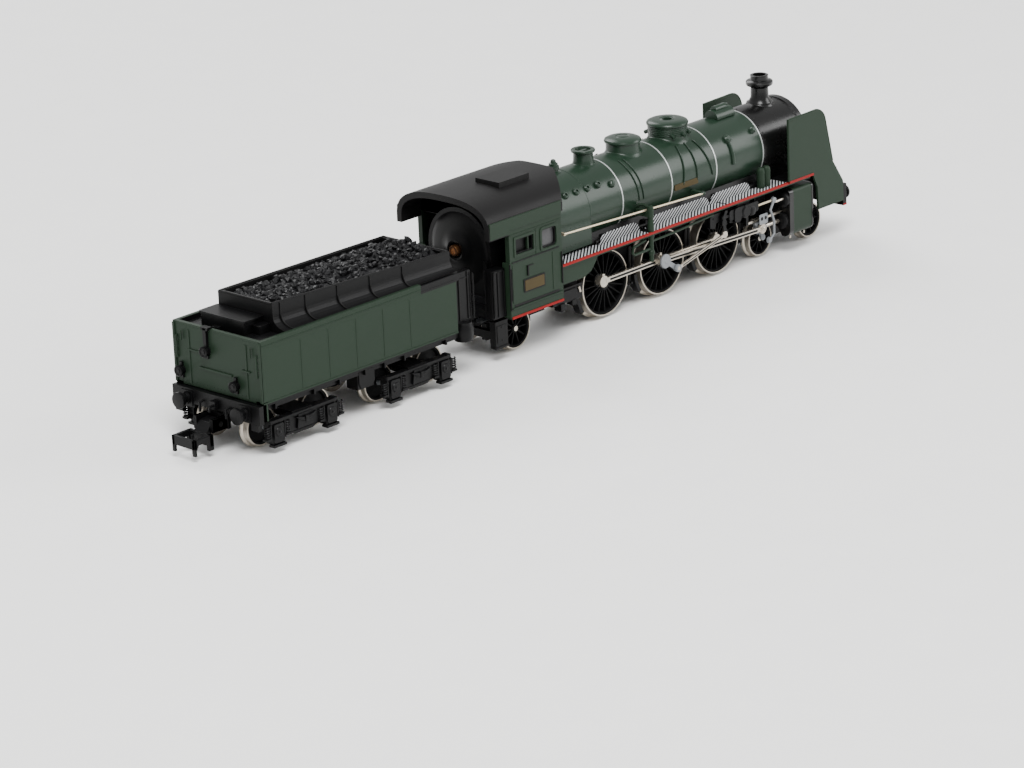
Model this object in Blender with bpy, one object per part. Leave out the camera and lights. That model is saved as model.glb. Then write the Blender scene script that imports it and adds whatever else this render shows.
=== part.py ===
"""N gauge model of a 4-6-2 express steam locomotive with its bogie tender.

Sizes are named in millimetres. X runs forwards, Y to the left and Z up. While a piece is built, x = 0 is
the middle driven axle and z = 0 is the lowest point of the wheel flanges. Each finished piece is then
moved along X, so that the scene's origin is below the centre of the whole model, and turned into metres.
"""

import math

import bmesh
import bpy

MM = 0.001

# Gaps
FIT_GAP = 0.10  # between fixed pieces that sit against each other
BORE_GAP = 0.06  # radial play of shafts and pins in their bores
MESH_GAP = 0.045  # taken off each flank of a gear tooth

# Wheels and track
BACK_TO_BACK = 7.5
WHEEL_WIDTH = 2.0
FLANGE_WIDTH = 0.5
FLANGE_DEPTH = 0.45
SMALL_FLANGE_DEPTH = 0.3
DRIVER_RADIUS = 5.1
DRIVER_SPACING = 13.0
DRIVER_AXLE_RADIUS = 0.75
LEADING_RADIUS = 2.8
TRAILING_RADIUS = 3.1
TENDER_WHEEL_RADIUS = 2.8
SMALL_WHEEL_WIDTH = 1.4
SMALL_AXLE_RADIUS = 0.5
AXLE_END_RADIUS = 0.35

# Gears
MODULE = 0.3
AXLE_GEAR_TEETH = 24
GEAR_WIDTH = 2.0
GEAR_SHAFT_RADIUS = 0.5
WORM_WHEEL_LEAN = 21.3  # degrees that the worm wheel's centre leans back from above the rear axle
WORM_WALL = 0.42
WORM_LENGTH = 5.0

# Cranks and rods
CRANK_THROW = 1.7
CRANK_ANGLE = 151.9  # degrees of the right crank from +X towards +Z
LEFT_CRANK_LEAD = -90.0
CRANK_PIN_RADIUS = 0.45
ECCENTRIC_THROW = 1.17
ECCENTRIC_ANGLE = -43.3
COUPLING_LAYER = (6.3, 6.9)
MAIN_LAYER = (7.0, 7.5)
RETURN_LAYER = (7.6, 7.95)
ECCENTRIC_LAYER = (8.05, 8.4)
COUPLING_BOSS = 0.85
COUPLING_HALF_HEIGHT = 0.38
MAIN_ROD_LENGTH = 23.5
MAIN_BOSS = 0.8
MAIN_HALF_HEIGHT = 0.36
ECCENTRIC_ROD_LENGTH = 11.3
ECCENTRIC_ROD_SLOPE = 13.0
ECCENTRIC_PIN_RADIUS = 0.28
ECCENTRIC_BOSS = 0.55
ECCENTRIC_HALF_HEIGHT = 0.24
RETURN_DISC_RADIUS = 1.1
PISTON_ROD_RADIUS = 0.35
CROSSHEAD_LENGTH = 2.0
CROSSHEAD_HEIGHT = 1.9

# Chassis
FRAME_HALF_WIDTH = 3.3
FRAME_INNER = 1.3
FRAME_DROP = 1.25  # of its lower edge below the axles
DECK_BOTTOM = 9.75
DECK_TOP = 12.2
FRONT_DECK_BOTTOM = 8.2
FRONT_DECK_TOP = 10.95
FRAME_FRONT = 40.3
FRAME_STEP = 24.2
FRAME_REAR_BLOCK = (-25.6, -19.3)
KEEPER_THICKNESS = 0.75
CRADLE = (-38.2, -25.0)
CRADLE_HALF_WIDTH = 5.8
CRADLE_BOTTOM = 7.8
CRADLE_TOP = 9.65
PIVOT_PIN_RADIUS = 0.8

# Motor
MOTOR_AXIS_Z = 16.2
MOTOR_CASE = (-38.0, -26.0)
MOTOR_RADIUS = 6.25
MOTOR_WALL = 0.8
MOTOR_SHAFT_RADIUS = 0.7
MOTOR_SHAFT = (-39.3, -11.6)
ARMATURE = (-34.8, -27.4)
ARMATURE_GAP = 0.7
COMMUTATOR = (-36.9, -35.2)
COMMUTATOR_RADIUS = 1.6
BRUSH_LENGTH = 1.5
BRUSH_WIDTH = 1.0
BEARING_FLANGE_RADIUS = 1.6
BEARING_LENGTH = 1.7

# Boiler and smokebox
BOILER_RADIUS = 5.75
BOILER_DIP = 0.65  # of the barrel's lowest line below the running boards' top
LAGGING = 0.15
SAND_DOME_HEIGHT = 2.45  # this and the heights below are above the barrel's top
STEAM_DOME_HEIGHT = 2.05
TURRET_HEIGHT = 2.15
SAFETY_VALVE_HEIGHT = 2.05
CHIMNEY_HEIGHT = 4.45
FEED_BOX_HEIGHT = 1.35
ROOF_HEIGHT = 2.35
HATCH_HEIGHT = 0.7  # above the roof
BOILER_WALL = 0.8
BOILER = (-25.0, 24.65)
FIREBOX_FRONT = -15.8
FIREBOX_BOTTOM = 12.4
BOILER_SLOT_HALF_WIDTH = 3.6
SMOKEBOX_FRONT = 35.2
DOOR_FRONT = 36.9
SAND_DOME_X = 8.7
SAND_DOME_RADIUS = 3.15
STEAM_DOME_X = -1.65
STEAM_DOME_RADIUS = 2.75
TURRET_X = -10.6
TURRET_RADIUS = 1.5
SAFETY_VALVE_X = -17.24
SAFETY_VALVE_RADIUS = 0.85
CHIMNEY_X = 30.8
CHIMNEY_RADIUS = 1.375
CHIMNEY_RIM_RADIUS = 2.15
FEED_BOX = (19.3, 23.6)
FEED_BOX_HALF_WIDTH = 1.9

# Cab
CAB_HALF_WIDTH = 9.1
CAB_WALL = 0.8
CAB_REAR = -37.1
CAB_CORNER = -25.9
CAB_NOSE = -21.5
CAB_BOTTOM = 6.75
CAB_SPRINGING = 20.5
CAB_SIDE_TOP = 21.7
ROOF_THICKNESS = 0.9
ROOF_REAR = -41.3
ROOF_NOSE = -21.0
ROOF_OVERHANG = 0.1
ROOF_RIM = 19.6
HATCH = (-33.5, -27.1)
HATCH_Y = (-4.2, 0.5)
FRONT_WINDOW = (-30.3, -27.0, 15.7, 18.8)
REAR_WINDOW = (-35.9, -31.9, 16.2, 18.7)
DOOR_PANEL = (-40.0, -37.4)
DOOR_PANEL_Y = (6.6, 8.2)
DOOR_PANEL_Z = (7.3, 14.6)

# Running boards, smoke deflectors and small fittings
BOARD_HALF_WIDTH = 8.5
BOARD_TOP = 11.9
BOARD_THICKNESS = 0.45
BOARD = (-25.8, 32.6)
SHEET_BOTTOM = 8.75
SHEET_FRONT = -16.9
SHEET_Y = (7.7, 8.15)
DEFLECTOR_Y = 8.5
DEFLECTOR_THICKNESS = 0.44
DEFLECTOR_REAR = 27.3
DEFLECTOR_TOP = 21.95
DEFLECTOR_FOOT = 5.85
PUMP_PIPE_X = -4.9
PUMP_PIPE_Y = 8.05
PUMP_PIPE_RADIUS = 0.4
PUMP_PIPE_Z = (7.2, 16.0)
REACH_ROD_Y = 7.5
REACH_ROD = ((-23.6, 16.1), (8.0, 14.7))
REACH_ROD_THICKNESS = 0.32

# Cylinders and motion
CYLINDER = (27.3, 33.2)
CYLINDER_Y = (6.0, 8.5)
CYLINDER_Z = (2.9, 10.8)
CYLINDER_COVER = 1.0
SLIDE_BAR_HEIGHT = (1.2, 1.6)  # above the axles
SLIDE_BAR_REAR = 18.6
BRACKET_X = (18.9, 20.3)
BRACKET_BEAM_REAR = 9.5
BRACKET_Y = 7.45
BRACKET_BEAM_Z = (8.35, 11.2)
LINK_X = 12.2
LINK_HALF_HEIGHT = 1.9
LINK_Z = 9.0
COMBINATION_LEVER = ((24.1, 9.8), (24.4, 4.0))

# Bogies, truck and drawbar
LEADING_CENTRE = 30.1
LEADING_WHEELBASE = 12.2
TRAILING_AXLE_X = -32.2
TRAILING_PIVOT_X = -23.5
TRUCK_REAR = -38.4
TRUCK_STEP_Y = (5.75, 6.9)
TRUCK_STEP_Z = (2.2, 6.2)
TRUCK_STEP_LENGTH = 2.6
TRUCK_BEAM_GAP = 0.2  # below the frame
TRUCK_BEAM_THICKNESS = 1.2
DRAWBAR_PIN_X = -36.5
TENDER_PIN_X = -51.0
DRAWBAR_Z = (5.35, 6.15)
DRAWBAR_RADIUS = 1.5
DRAWBAR_PIN_RADIUS = 0.7

# Buffers
BUFFER_Z = 6.14
BUFFER_Y = 6.04
BUFFER_HEAD_RADIUS = 1.17
BUFFER_SHANK_RADIUS = 0.75
BUFFER_FACE = 44.1
BEAM = (40.7, 41.6)
BEAM_HALF_WIDTH = 8.4
BEAM_Z = (4.9, 8.4)
FRONT_PLATE_REAR = 36.6

# Tender
TENDER_FRONT = -48.0
TENDER_LENGTH = 38.8
TENDER_HALF_WIDTH = 8.7
TENDER_WALL = 0.6
TENDER_BOTTOM = 7.7
TENDER_TOP = 16.75
WATER_DECK = 16.0
FLAP_LENGTH = 7.2
FLAP_TOP = 15.65
BUNKER_REAR_GAP = 5.8  # from the tender's rear plate to the bunker
BUNKER_OVERHANG = 1.0
BUNKER_TOP = (20.1, 19.2)  # rear, front
BUNKER_HALF_WIDTH = (5.4, 6.7)
BUNKER_WALL = 0.6
BUNKER_FOOT_HALF_WIDTH = 8.0
BUNKER_FLOOR = 17.3
COAL_GAP = 0.15
TENDER_FLOOR = (6.4, 7.6)
TENDER_FRAME_HALF_WIDTH = 7.7
TENDER_BOGIE_INSET = 7.9  # from each end of the tender to a bogie's centre
BOGIE_WHEELBASE = 10.3
BOGIE_HALF_LENGTH = 6.3
BOGIE_SIDE_Y = (7.1, 8.1)
BOGIE_SIDE_Z = (2.2, 4.6)
AXLEBOX_HALF_WIDTH = 0.95
AXLEBOX_BOTTOM = 1.3
BATTERY_BOX = (-19.6, -16.4)
BATTERY_BOX_Y = (5.4, 7.6)
BATTERY_BOX_BOTTOM = 4.2
TENDER_BUFFER_LENGTH = 2.7
TENDER_BUFFER_Y = 5.8
TENDER_BEAM_Z = (4.9, 7.6)
PANEL_Y = (6.6, 7.4)
PANEL_FRONT = 4.2
PANEL_Z = (8.6, 15.9)
STEP_RADIUS = 1.4

# Coupler
POCKET = (-3.5, -0.4)  # along X from the tender's rear, as are the two below
POCKET_Z = (3.2, 5.1)
POCKET_HALF_WIDTH = 1.9
HOOK_HALF_WIDTH = 1.25
HOOK_PIVOT_X = -1.9
HOOK_PIVOT_Z = 4.1
HOOK_PIN_RADIUS = 0.35
HEAD = (-7.2, -3.8)
HEAD_Z = (1.1, 3.2)
HEAD_HALF_WIDTH = 2.3
HEAD_WALL = 0.55

# Facets of round pieces
WHEEL_FACETS = 28
SMALL_WHEEL_FACETS = 18
PIN_FACETS = 10
ROUND_FACETS = 28

# Sizes that follow from the ones above
AXLE_Z = DRIVER_RADIUS + FLANGE_DEPTH
LEADING_AXLE_Z = LEADING_RADIUS + SMALL_FLANGE_DEPTH
TRAILING_AXLE_Z = TRAILING_RADIUS + SMALL_FLANGE_DEPTH
TENDER_AXLE_Z = TENDER_WHEEL_RADIUS + SMALL_FLANGE_DEPTH
DRIVER_FACE = BACK_TO_BACK / 2 + WHEEL_WIDTH
FRAME_BOTTOM = AXLE_Z - FRAME_DROP
SLIDE_BAR_Z = (AXLE_Z + SLIDE_BAR_HEIGHT[0], AXLE_Z + SLIDE_BAR_HEIGHT[1])
TRUCK_BEAM_TOP = FRAME_BOTTOM - TRUCK_BEAM_GAP
TRUCK_BEAM_Z = (TRUCK_BEAM_TOP - TRUCK_BEAM_THICKNESS, TRUCK_BEAM_TOP)
BOILER_Z = BOARD_TOP + BOILER_RADIUS - BOILER_DIP
BARREL_TOP = BOILER_Z + BOILER_RADIUS
FIREBOX_HALF_WIDTH = BOILER_RADIUS + LAGGING
SMOKEBOX_RADIUS = BOILER_RADIUS + LAGGING
SAND_DOME_TOP = BARREL_TOP + SAND_DOME_HEIGHT
STEAM_DOME_TOP = BARREL_TOP + STEAM_DOME_HEIGHT
TURRET_TOP = BARREL_TOP + TURRET_HEIGHT
SAFETY_VALVE_TOP = BARREL_TOP + SAFETY_VALVE_HEIGHT
CHIMNEY_TOP = BARREL_TOP + CHIMNEY_HEIGHT
FEED_BOX_TOP = BARREL_TOP + FEED_BOX_HEIGHT
ROOF_CROWN = max(BARREL_TOP + ROOF_HEIGHT, MOTOR_AXIS_Z + MOTOR_RADIUS + 2 * ROOF_THICKNESS)
HATCH_TOP = ROOF_CROWN + HATCH_HEIGHT
AXLE_GEAR_RADIUS = MODULE * AXLE_GEAR_TEETH / 2
IDLER_TEETH = math.ceil(2 * 1.01 * DRIVER_SPACING / 2 / MODULE) - AXLE_GEAR_TEETH
IDLER_RADIUS = MODULE * IDLER_TEETH / 2
CENTRES = AXLE_GEAR_RADIUS + IDLER_RADIUS
IDLER_Z = AXLE_Z - math.sqrt(CENTRES**2 - (DRIVER_SPACING / 2) ** 2)
WORM_WHEEL_TEETH = 20
WORM_WHEEL_RADIUS = MODULE * WORM_WHEEL_TEETH / 2
WORM_WHEEL_CENTRES = AXLE_GEAR_RADIUS + WORM_WHEEL_RADIUS
WORM_WHEEL_X = -DRIVER_SPACING - WORM_WHEEL_CENTRES * math.sin(math.radians(WORM_WHEEL_LEAN))
WORM_WHEEL_Z = AXLE_Z + WORM_WHEEL_CENTRES * math.cos(math.radians(WORM_WHEEL_LEAN))
TENDER_REAR = TENDER_FRONT - TENDER_LENGTH
COUPLER_REAR = TENDER_REAR + HEAD[0]
CENTRE_X = (BUFFER_FACE + COUPLER_REAR) / 2

GREEN = ("loco_green", (0.045, 0.125, 0.075), 0.42, 0.0)
BLACK = ("satin_black", (0.012, 0.012, 0.013), 0.45, 0.0)
CHASSIS_METAL = ("cast_chassis", (0.03, 0.03, 0.032), 0.5, 0.6)
STEEL = ("bright_steel", (0.62, 0.61, 0.58), 0.3, 1.0)
BRASS = ("brass", (0.72, 0.47, 0.2), 0.35, 1.0)
GEAR_PLASTIC = ("gear_plastic", (0.02, 0.02, 0.02), 0.5, 0.0)
COPPER = ("winding_copper", (0.5, 0.22, 0.1), 0.4, 1.0)
COAL = ("coal", (0.01, 0.01, 0.011), 0.6, 0.0)
CARBON = ("carbon_brush", (0.03, 0.03, 0.03), 0.7, 0.0)


def clear_scene():
    for obj in list(bpy.data.objects):
        bpy.data.objects.remove(obj, do_unlink=True)


def material(look):
    name, colour, roughness, metallic = look
    made = bpy.data.materials.get(name)
    if made:
        return made
    made = bpy.data.materials.new(name)
    made.use_nodes = True
    shader = made.node_tree.nodes["Principled BSDF"]
    shader.inputs["Base Color"].default_value = (*colour, 1.0)
    shader.inputs["Roughness"].default_value = roughness
    shader.inputs["Metallic"].default_value = metallic
    return made


# ---- Shapes, in millimetres ------------------------------------------------


def shape_of(bm):
    """A scene object from a bmesh, with its faces pointing out."""
    bmesh.ops.recalc_face_normals(bm, faces=bm.faces)
    mesh = bpy.data.meshes.new("shape")
    bm.to_mesh(mesh)
    bm.free()
    obj = bpy.data.objects.new("shape", mesh)
    bpy.context.scene.collection.objects.link(obj)
    return obj


def box(x, y, z):
    """A block between two ends along each axis. Ends may come in either order."""
    bm = bmesh.new()
    bmesh.ops.create_cube(bm, size=1.0)
    for vertex in bm.verts:
        for i, (low, high) in enumerate((sorted(x), sorted(y), sorted(z))):
            vertex.co[i] = low if vertex.co[i] < 0 else high
    return shape_of(bm)


def placed(axis, along, across):
    """A point from its distance along an axis and its two other coordinates, in X, Y, Z order."""
    point = list(across)
    point.insert("XYZ".index(axis), along)
    return point


def loft(axis, sections):
    """A closed solid through outlines, each (distance along the axis, points in the other two axes)."""
    bm = bmesh.new()
    rings = [[bm.verts.new(placed(axis, along, p)) for p in outline] for along, outline in sections]
    for ring, following in zip(rings, rings[1:]):
        for i in range(len(ring)):
            j = (i + 1) % len(ring)
            bm.faces.new((ring[i], ring[j], following[j], following[i]))
    bm.faces.new(rings[0])
    bm.faces.new(rings[-1])
    return shape_of(bm)


def prism(axis, outline, span):
    return loft(axis, [(min(span), outline), (max(span), outline)])


def turned(axis, centre, profile, facets):
    """A solid of revolution from (distance along the axis, radius) points that start and end on the axis."""
    bm = bmesh.new()
    rings = []
    for along, radius in profile:
        if radius == 0:
            rings.append([bm.verts.new(placed(axis, along, centre))])
            continue
        ring = []
        for i in range(facets):
            angle = 2 * math.pi * i / facets
            across = (centre[0] + radius * math.cos(angle), centre[1] + radius * math.sin(angle))
            ring.append(bm.verts.new(placed(axis, along, across)))
        rings.append(ring)
    for ring, following in zip(rings, rings[1:]):
        for i in range(facets):
            j = (i + 1) % facets
            corners = [ring[i % len(ring)], ring[j % len(ring)]]
            corners += [following[j % len(following)], following[i % len(following)]]
            bm.faces.new(dict.fromkeys(corners))
    return shape_of(bm)


def round_bar(axis, centre, radius, span, facets=PIN_FACETS):
    low, high = sorted(span)
    return turned(axis, centre, [(low, 0), (low, radius), (high, radius), (high, 0)], facets)


def mirrored(span, side):
    """A span of distances from the centre line, on the left (side 1) or the right (side -1)."""
    return sorted((span[0] * side, span[1] * side))


def polar(radius, degrees):
    return (radius * math.cos(math.radians(degrees)), radius * math.sin(math.radians(degrees)))


def arc(centre, radius, start, end, steps):
    """Points on an arc between two angles in degrees."""
    points = []
    for i in range(steps + 1):
        dx, dz = polar(radius, start + (end - start) * i / steps)
        points.append((centre[0] + dx, centre[1] + dz))
    return points


def rod_outline(centres, boss, half_height, steps=8):
    """The outline of a rod with round bosses at centres that lie on one line."""
    (x0, z0), (x1, z1) = centres[0], centres[-1]
    lean = math.degrees(math.atan2(z1 - z0, x1 - x0))
    bite = math.degrees(math.asin(half_height / boss))
    points = arc(centres[0], boss, lean + bite, lean + 360 - bite, steps)
    for centre in centres[1:-1]:
        points += arc(centre, boss, lean + 180 + bite, lean + 360 - bite, steps // 2)
    points += arc(centres[-1], boss, lean - 180 + bite, lean + 180 - bite, steps)
    for centre in reversed(centres[1:-1]):
        points += arc(centre, boss, lean + bite, lean + 180 - bite, steps // 2)
    return points


def gear(teeth, centre, phase, width):
    """A spur gear about a Y axis. phase is the angle in degrees of one tooth's centre."""
    pitch_radius = MODULE * teeth / 2
    quarter_pitch = math.pi * MODULE / 4
    steps = (
        (pitch_radius - 1.15 * MODULE, -(quarter_pitch + 0.07 - MESH_GAP)),
        (pitch_radius + 0.85 * MODULE, -(quarter_pitch - 0.10 - MESH_GAP)),
        (pitch_radius + 0.85 * MODULE, quarter_pitch - 0.10 - MESH_GAP),
        (pitch_radius - 1.15 * MODULE, quarter_pitch + 0.07 - MESH_GAP),
    )
    outline = []
    for tooth in range(teeth):
        for radius, across in steps:
            angle = phase + 360 * tooth / teeth + math.degrees(across / radius)
            dx, dz = polar(radius, angle)
            outline.append((centre[0] + dx, centre[1] + dz))
    return prism("Y", outline, (-width / 2, width / 2))


def meshed_phase(phase, teeth, direction, other_teeth):
    """The phase of a gear that meshes with one of a known phase, when it lies in that direction."""
    offset = 0.5 + (phase - direction) * teeth / 360
    return direction + 180 - offset * 360 / other_teeth


# ---- Pieces ----------------------------------------------------------------


def boolean(base, others, operation):
    """The base after others are joined to it or cut from it. The others are used up."""
    for other in others:
        modifier = base.modifiers.new("Boolean", "BOOLEAN")
        modifier.operation = operation
        modifier.object = other
    graph = bpy.context.evaluated_depsgraph_get()
    made = bpy.data.meshes.new_from_object(base.evaluated_get(graph))
    base.modifiers.clear()
    base.data = made
    for other in others:
        bpy.data.objects.remove(other, do_unlink=True)
    return base


def joined(first, *others):
    return boolean(first, others, "UNION") if others else first


def without(first, *others):
    return boolean(first, others, "DIFFERENCE") if others else first


def piece(name, look, shape, pivot=(0.0, 0.0, 0.0), parent=None):
    """Names a shape, sets its origin on its joint's axis and turns it into metres."""
    shape.name = name
    shape.data.name = name
    shape.data.materials.clear()
    shape.data.materials.append(material(look))
    for vertex in shape.data.vertices:
        vertex.co = [(value - start) * MM for value, start in zip(vertex.co, pivot)]
    place = [(pivot[0] - CENTRE_X) * MM, pivot[1] * MM, pivot[2] * MM]
    if parent:
        parent_place = parent["place"]
        shape.parent = parent
        shape.location = [value - start for value, start in zip(place, parent_place)]
    else:
        shape.location = place
    shape["place"] = place
    shape.data.shade_smooth()
    shape.data.set_sharp_from_angle(angle=math.radians(35))
    return shape


def wheelset_profile(radius, flange_depth, width, axle_radius, axle_end=None):
    """The turned outline of two wheels on their axle, with narrow axle ends if a reach is given."""
    inner = BACK_TO_BACK / 2
    face = inner + width
    flange = radius + flange_depth
    half = [(inner, axle_radius), (inner, flange), (inner + FLANGE_WIDTH * 0.6, flange)]
    half += [(inner + FLANGE_WIDTH, radius), (face, radius)]
    if axle_end:
        half += [(face, AXLE_END_RADIUS), (axle_end, AXLE_END_RADIUS), (axle_end, 0)]
    else:
        half += [(face, 0)]
    return [(-along, r) for along, r in reversed(half)] + half


def crank_pin(side):
    """Where a crank pin is from its axle, in X and Z."""
    return polar(CRANK_THROW, CRANK_ANGLE if side < 0 else CRANK_ANGLE + LEFT_CRANK_LEAD)


def eccentric_pin(side):
    return polar(ECCENTRIC_THROW, ECCENTRIC_ANGLE if side < 0 else ECCENTRIC_ANGLE + LEFT_CRANK_LEAD)


def driver(name, x, phase, pin_reach, parent):
    axle = (x, AXLE_Z)
    profile = wheelset_profile(DRIVER_RADIUS, FLANGE_DEPTH, WHEEL_WIDTH, DRIVER_AXLE_RADIUS)
    body = turned("Y", axle, profile, WHEEL_FACETS)
    extras = [gear(AXLE_GEAR_TEETH, axle, phase, GEAR_WIDTH)]
    for side in (-1, 1):
        dx, dz = crank_pin(side)
        pin = (x + dx, AXLE_Z + dz)
        boss_end = COUPLING_LAYER[0] - FIT_GAP
        extras.append(round_bar("Y", pin, 0.8, mirrored((DRIVER_FACE - 0.3, boss_end), side)))
        extras.append(round_bar("Y", pin, CRANK_PIN_RADIUS, mirrored((DRIVER_FACE - 0.2, pin_reach), side)))
    return piece(name, STEEL, joined(body, *extras), (x, 0, AXLE_Z), parent)


def gear_phases():
    """The phases that put the whole gear train in mesh, counted from the middle axle's gear."""
    middle = 0.0
    drop = math.degrees(math.atan2(IDLER_Z - AXLE_Z, DRIVER_SPACING / 2))
    front_idler = meshed_phase(middle, AXLE_GEAR_TEETH, drop, IDLER_TEETH)
    rear_idler = meshed_phase(middle, AXLE_GEAR_TEETH, 180 - drop, IDLER_TEETH)
    front = meshed_phase(front_idler, IDLER_TEETH, -drop, AXLE_GEAR_TEETH)
    rear = meshed_phase(rear_idler, IDLER_TEETH, 180 + drop, AXLE_GEAR_TEETH)
    worm_wheel = meshed_phase(rear, AXLE_GEAR_TEETH, 90 + WORM_WHEEL_LEAN, WORM_WHEEL_TEETH)
    return middle, front_idler, rear_idler, front, rear, worm_wheel


def shaft_gear(name, look, teeth, centre, phase, parent):
    """A gear with its own stub shaft in the chassis plates."""
    shaft = round_bar("Y", centre, GEAR_SHAFT_RADIUS, (-FRAME_HALF_WIDTH, FRAME_HALF_WIDTH))
    return piece(name, look, joined(gear(teeth, centre, phase, GEAR_WIDTH), shaft),
                 (centre[0], 0, centre[1]), parent)


def chassis_frame():
    plates = [
        box((FRAME_REAR_BLOCK[1] - 0.5, 19.6), mirrored((FRAME_INNER, FRAME_HALF_WIDTH), side),
            (FRAME_BOTTOM, DECK_TOP))
        for side in (-1, 1)
    ]
    gear_top = WORM_WHEEL_Z + WORM_WHEEL_RADIUS
    tower_top = WORM_WHEEL_Z + GEAR_SHAFT_RADIUS + 0.7
    across = (-FRAME_HALF_WIDTH, FRAME_HALF_WIDTH)
    wheel_front = WORM_WHEEL_X + WORM_WHEEL_RADIUS + MODULE + 0.3
    wheel_rear = WORM_WHEEL_X - WORM_WHEEL_RADIUS - MODULE - 0.3
    parts = plates[1:]
    parts.append(box((wheel_front, FRAME_STEP), across, (DECK_BOTTOM, DECK_TOP)))
    parts.append(box((FRAME_STEP - 1, FRAME_FRONT), across, (FRONT_DECK_BOTTOM, FRONT_DECK_TOP)))
    nose = DRIVER_SPACING + AXLE_GEAR_RADIUS + MODULE + 0.3
    parts.append(box((nose, 19.6), across, (FRAME_BOTTOM, DECK_TOP)))
    parts.append(box((18.0, FRAME_STEP), across, (FRONT_DECK_BOTTOM, DECK_TOP)))
    parts.append(box((FRAME_REAR_BLOCK[0], wheel_rear), across, (FRAME_BOTTOM + 0.3, DECK_TOP)))
    parts.append(box((CRADLE[0], CRADLE[1]), (-CRADLE_HALF_WIDTH, CRADLE_HALF_WIDTH),
                     (CRADLE_BOTTOM, CRADLE_TOP)))
    for side in (-1, 1):
        tower = (WORM_WHEEL_X - 1.8, WORM_WHEEL_X + 1.8)
        parts.append(box(tower, mirrored((FRAME_INNER, FRAME_HALF_WIDTH), side), (DECK_BOTTOM, tower_top)))
    drawbar_top = DRAWBAR_Z[1] + FIT_GAP
    parts.append(round_bar("Z", (DRAWBAR_PIN_X, 0), 1.4, (drawbar_top, CRADLE_TOP - 0.5), 16))
    parts.append(round_bar("Z", (DRAWBAR_PIN_X, 0), DRAWBAR_PIN_RADIUS,
                           (DRAWBAR_Z[0] - 0.4, CRADLE_TOP - 0.5)))
    parts.append(round_bar("Z", (LEADING_CENTRE, 0), PIVOT_PIN_RADIUS, (3.9, FRONT_DECK_TOP - 0.5), 16))
    parts.append(round_bar("Z", (TRAILING_PIVOT_X, 0), PIVOT_PIN_RADIUS, (3.0, DECK_TOP - 0.5), 16))
    body = joined(plates[0], *parts)
    cuts = []
    for x in (-DRIVER_SPACING, 0, DRIVER_SPACING):
        radius = DRIVER_AXLE_RADIUS + BORE_GAP
        cuts.append(box((x - radius, x + radius), (-4, 4), (FRAME_BOTTOM - 1, AXLE_Z)))
        cuts.append(round_bar("Y", (x, AXLE_Z), radius, (-4.1, 4.1), 16))
    holes = [(-DRIVER_SPACING / 2, IDLER_Z), (DRIVER_SPACING / 2, IDLER_Z), (WORM_WHEEL_X, WORM_WHEEL_Z)]
    for centre in holes[2:]:
        cuts.append(round_bar("Y", centre, GEAR_SHAFT_RADIUS + BORE_GAP, (-4.2, 4.2)))
    for x, z in holes[:2]:
        radius = GEAR_SHAFT_RADIUS + BORE_GAP
        cuts.append(box((x - radius, x + radius), (-4.3, 4.3), (FRAME_BOTTOM - 1, z)))
        cuts.append(round_bar("Y", (x, z), radius, (-4.4, 4.4)))
    cuts.append(box((wheel_rear, wheel_front), (-FRAME_INNER, FRAME_INNER),
                    (FRAME_BOTTOM - 1, gear_top + 2)))
    return piece("chassis_frame", CHASSIS_METAL, without(body, *cuts))


def keeper_plate(parent):
    """The plate under the frame that holds the axles up, open along its middle for the gears."""
    top = FRAME_BOTTOM - FIT_GAP
    reach = DRIVER_SPACING + AXLE_GEAR_RADIUS + MODULE + 1.6
    low = top - KEEPER_THICKNESS
    plate = box((-reach, reach), (-FRAME_HALF_WIDTH, FRAME_HALF_WIDTH), (low, top))
    pads = []
    for x in (-DRIVER_SPACING, 0, DRIVER_SPACING):
        half = DRIVER_AXLE_RADIUS - 0.05
        pad_top = AXLE_Z - DRIVER_AXLE_RADIUS - BORE_GAP
        for side in (-1, 1):
            across = mirrored((FRAME_INNER + 0.1, FRAME_HALF_WIDTH - 0.1), side)
            pads.append(box((x - half, x + half), across, (top - 0.3, pad_top)))
    slot = box((1.2 - reach, reach - 1.2), (-FRAME_INNER, FRAME_INNER), (low - 1, top + 1))
    cuts = [slot]
    for x in (-DRIVER_SPACING / 2, DRIVER_SPACING / 2):
        radius = GEAR_SHAFT_RADIUS + BORE_GAP
        cuts.append(round_bar("Y", (x, IDLER_Z), radius, (-4, 4)))
    return piece("keeper_plate", BLACK, without(joined(plate, *pads), *cuts), parent=parent)


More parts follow.
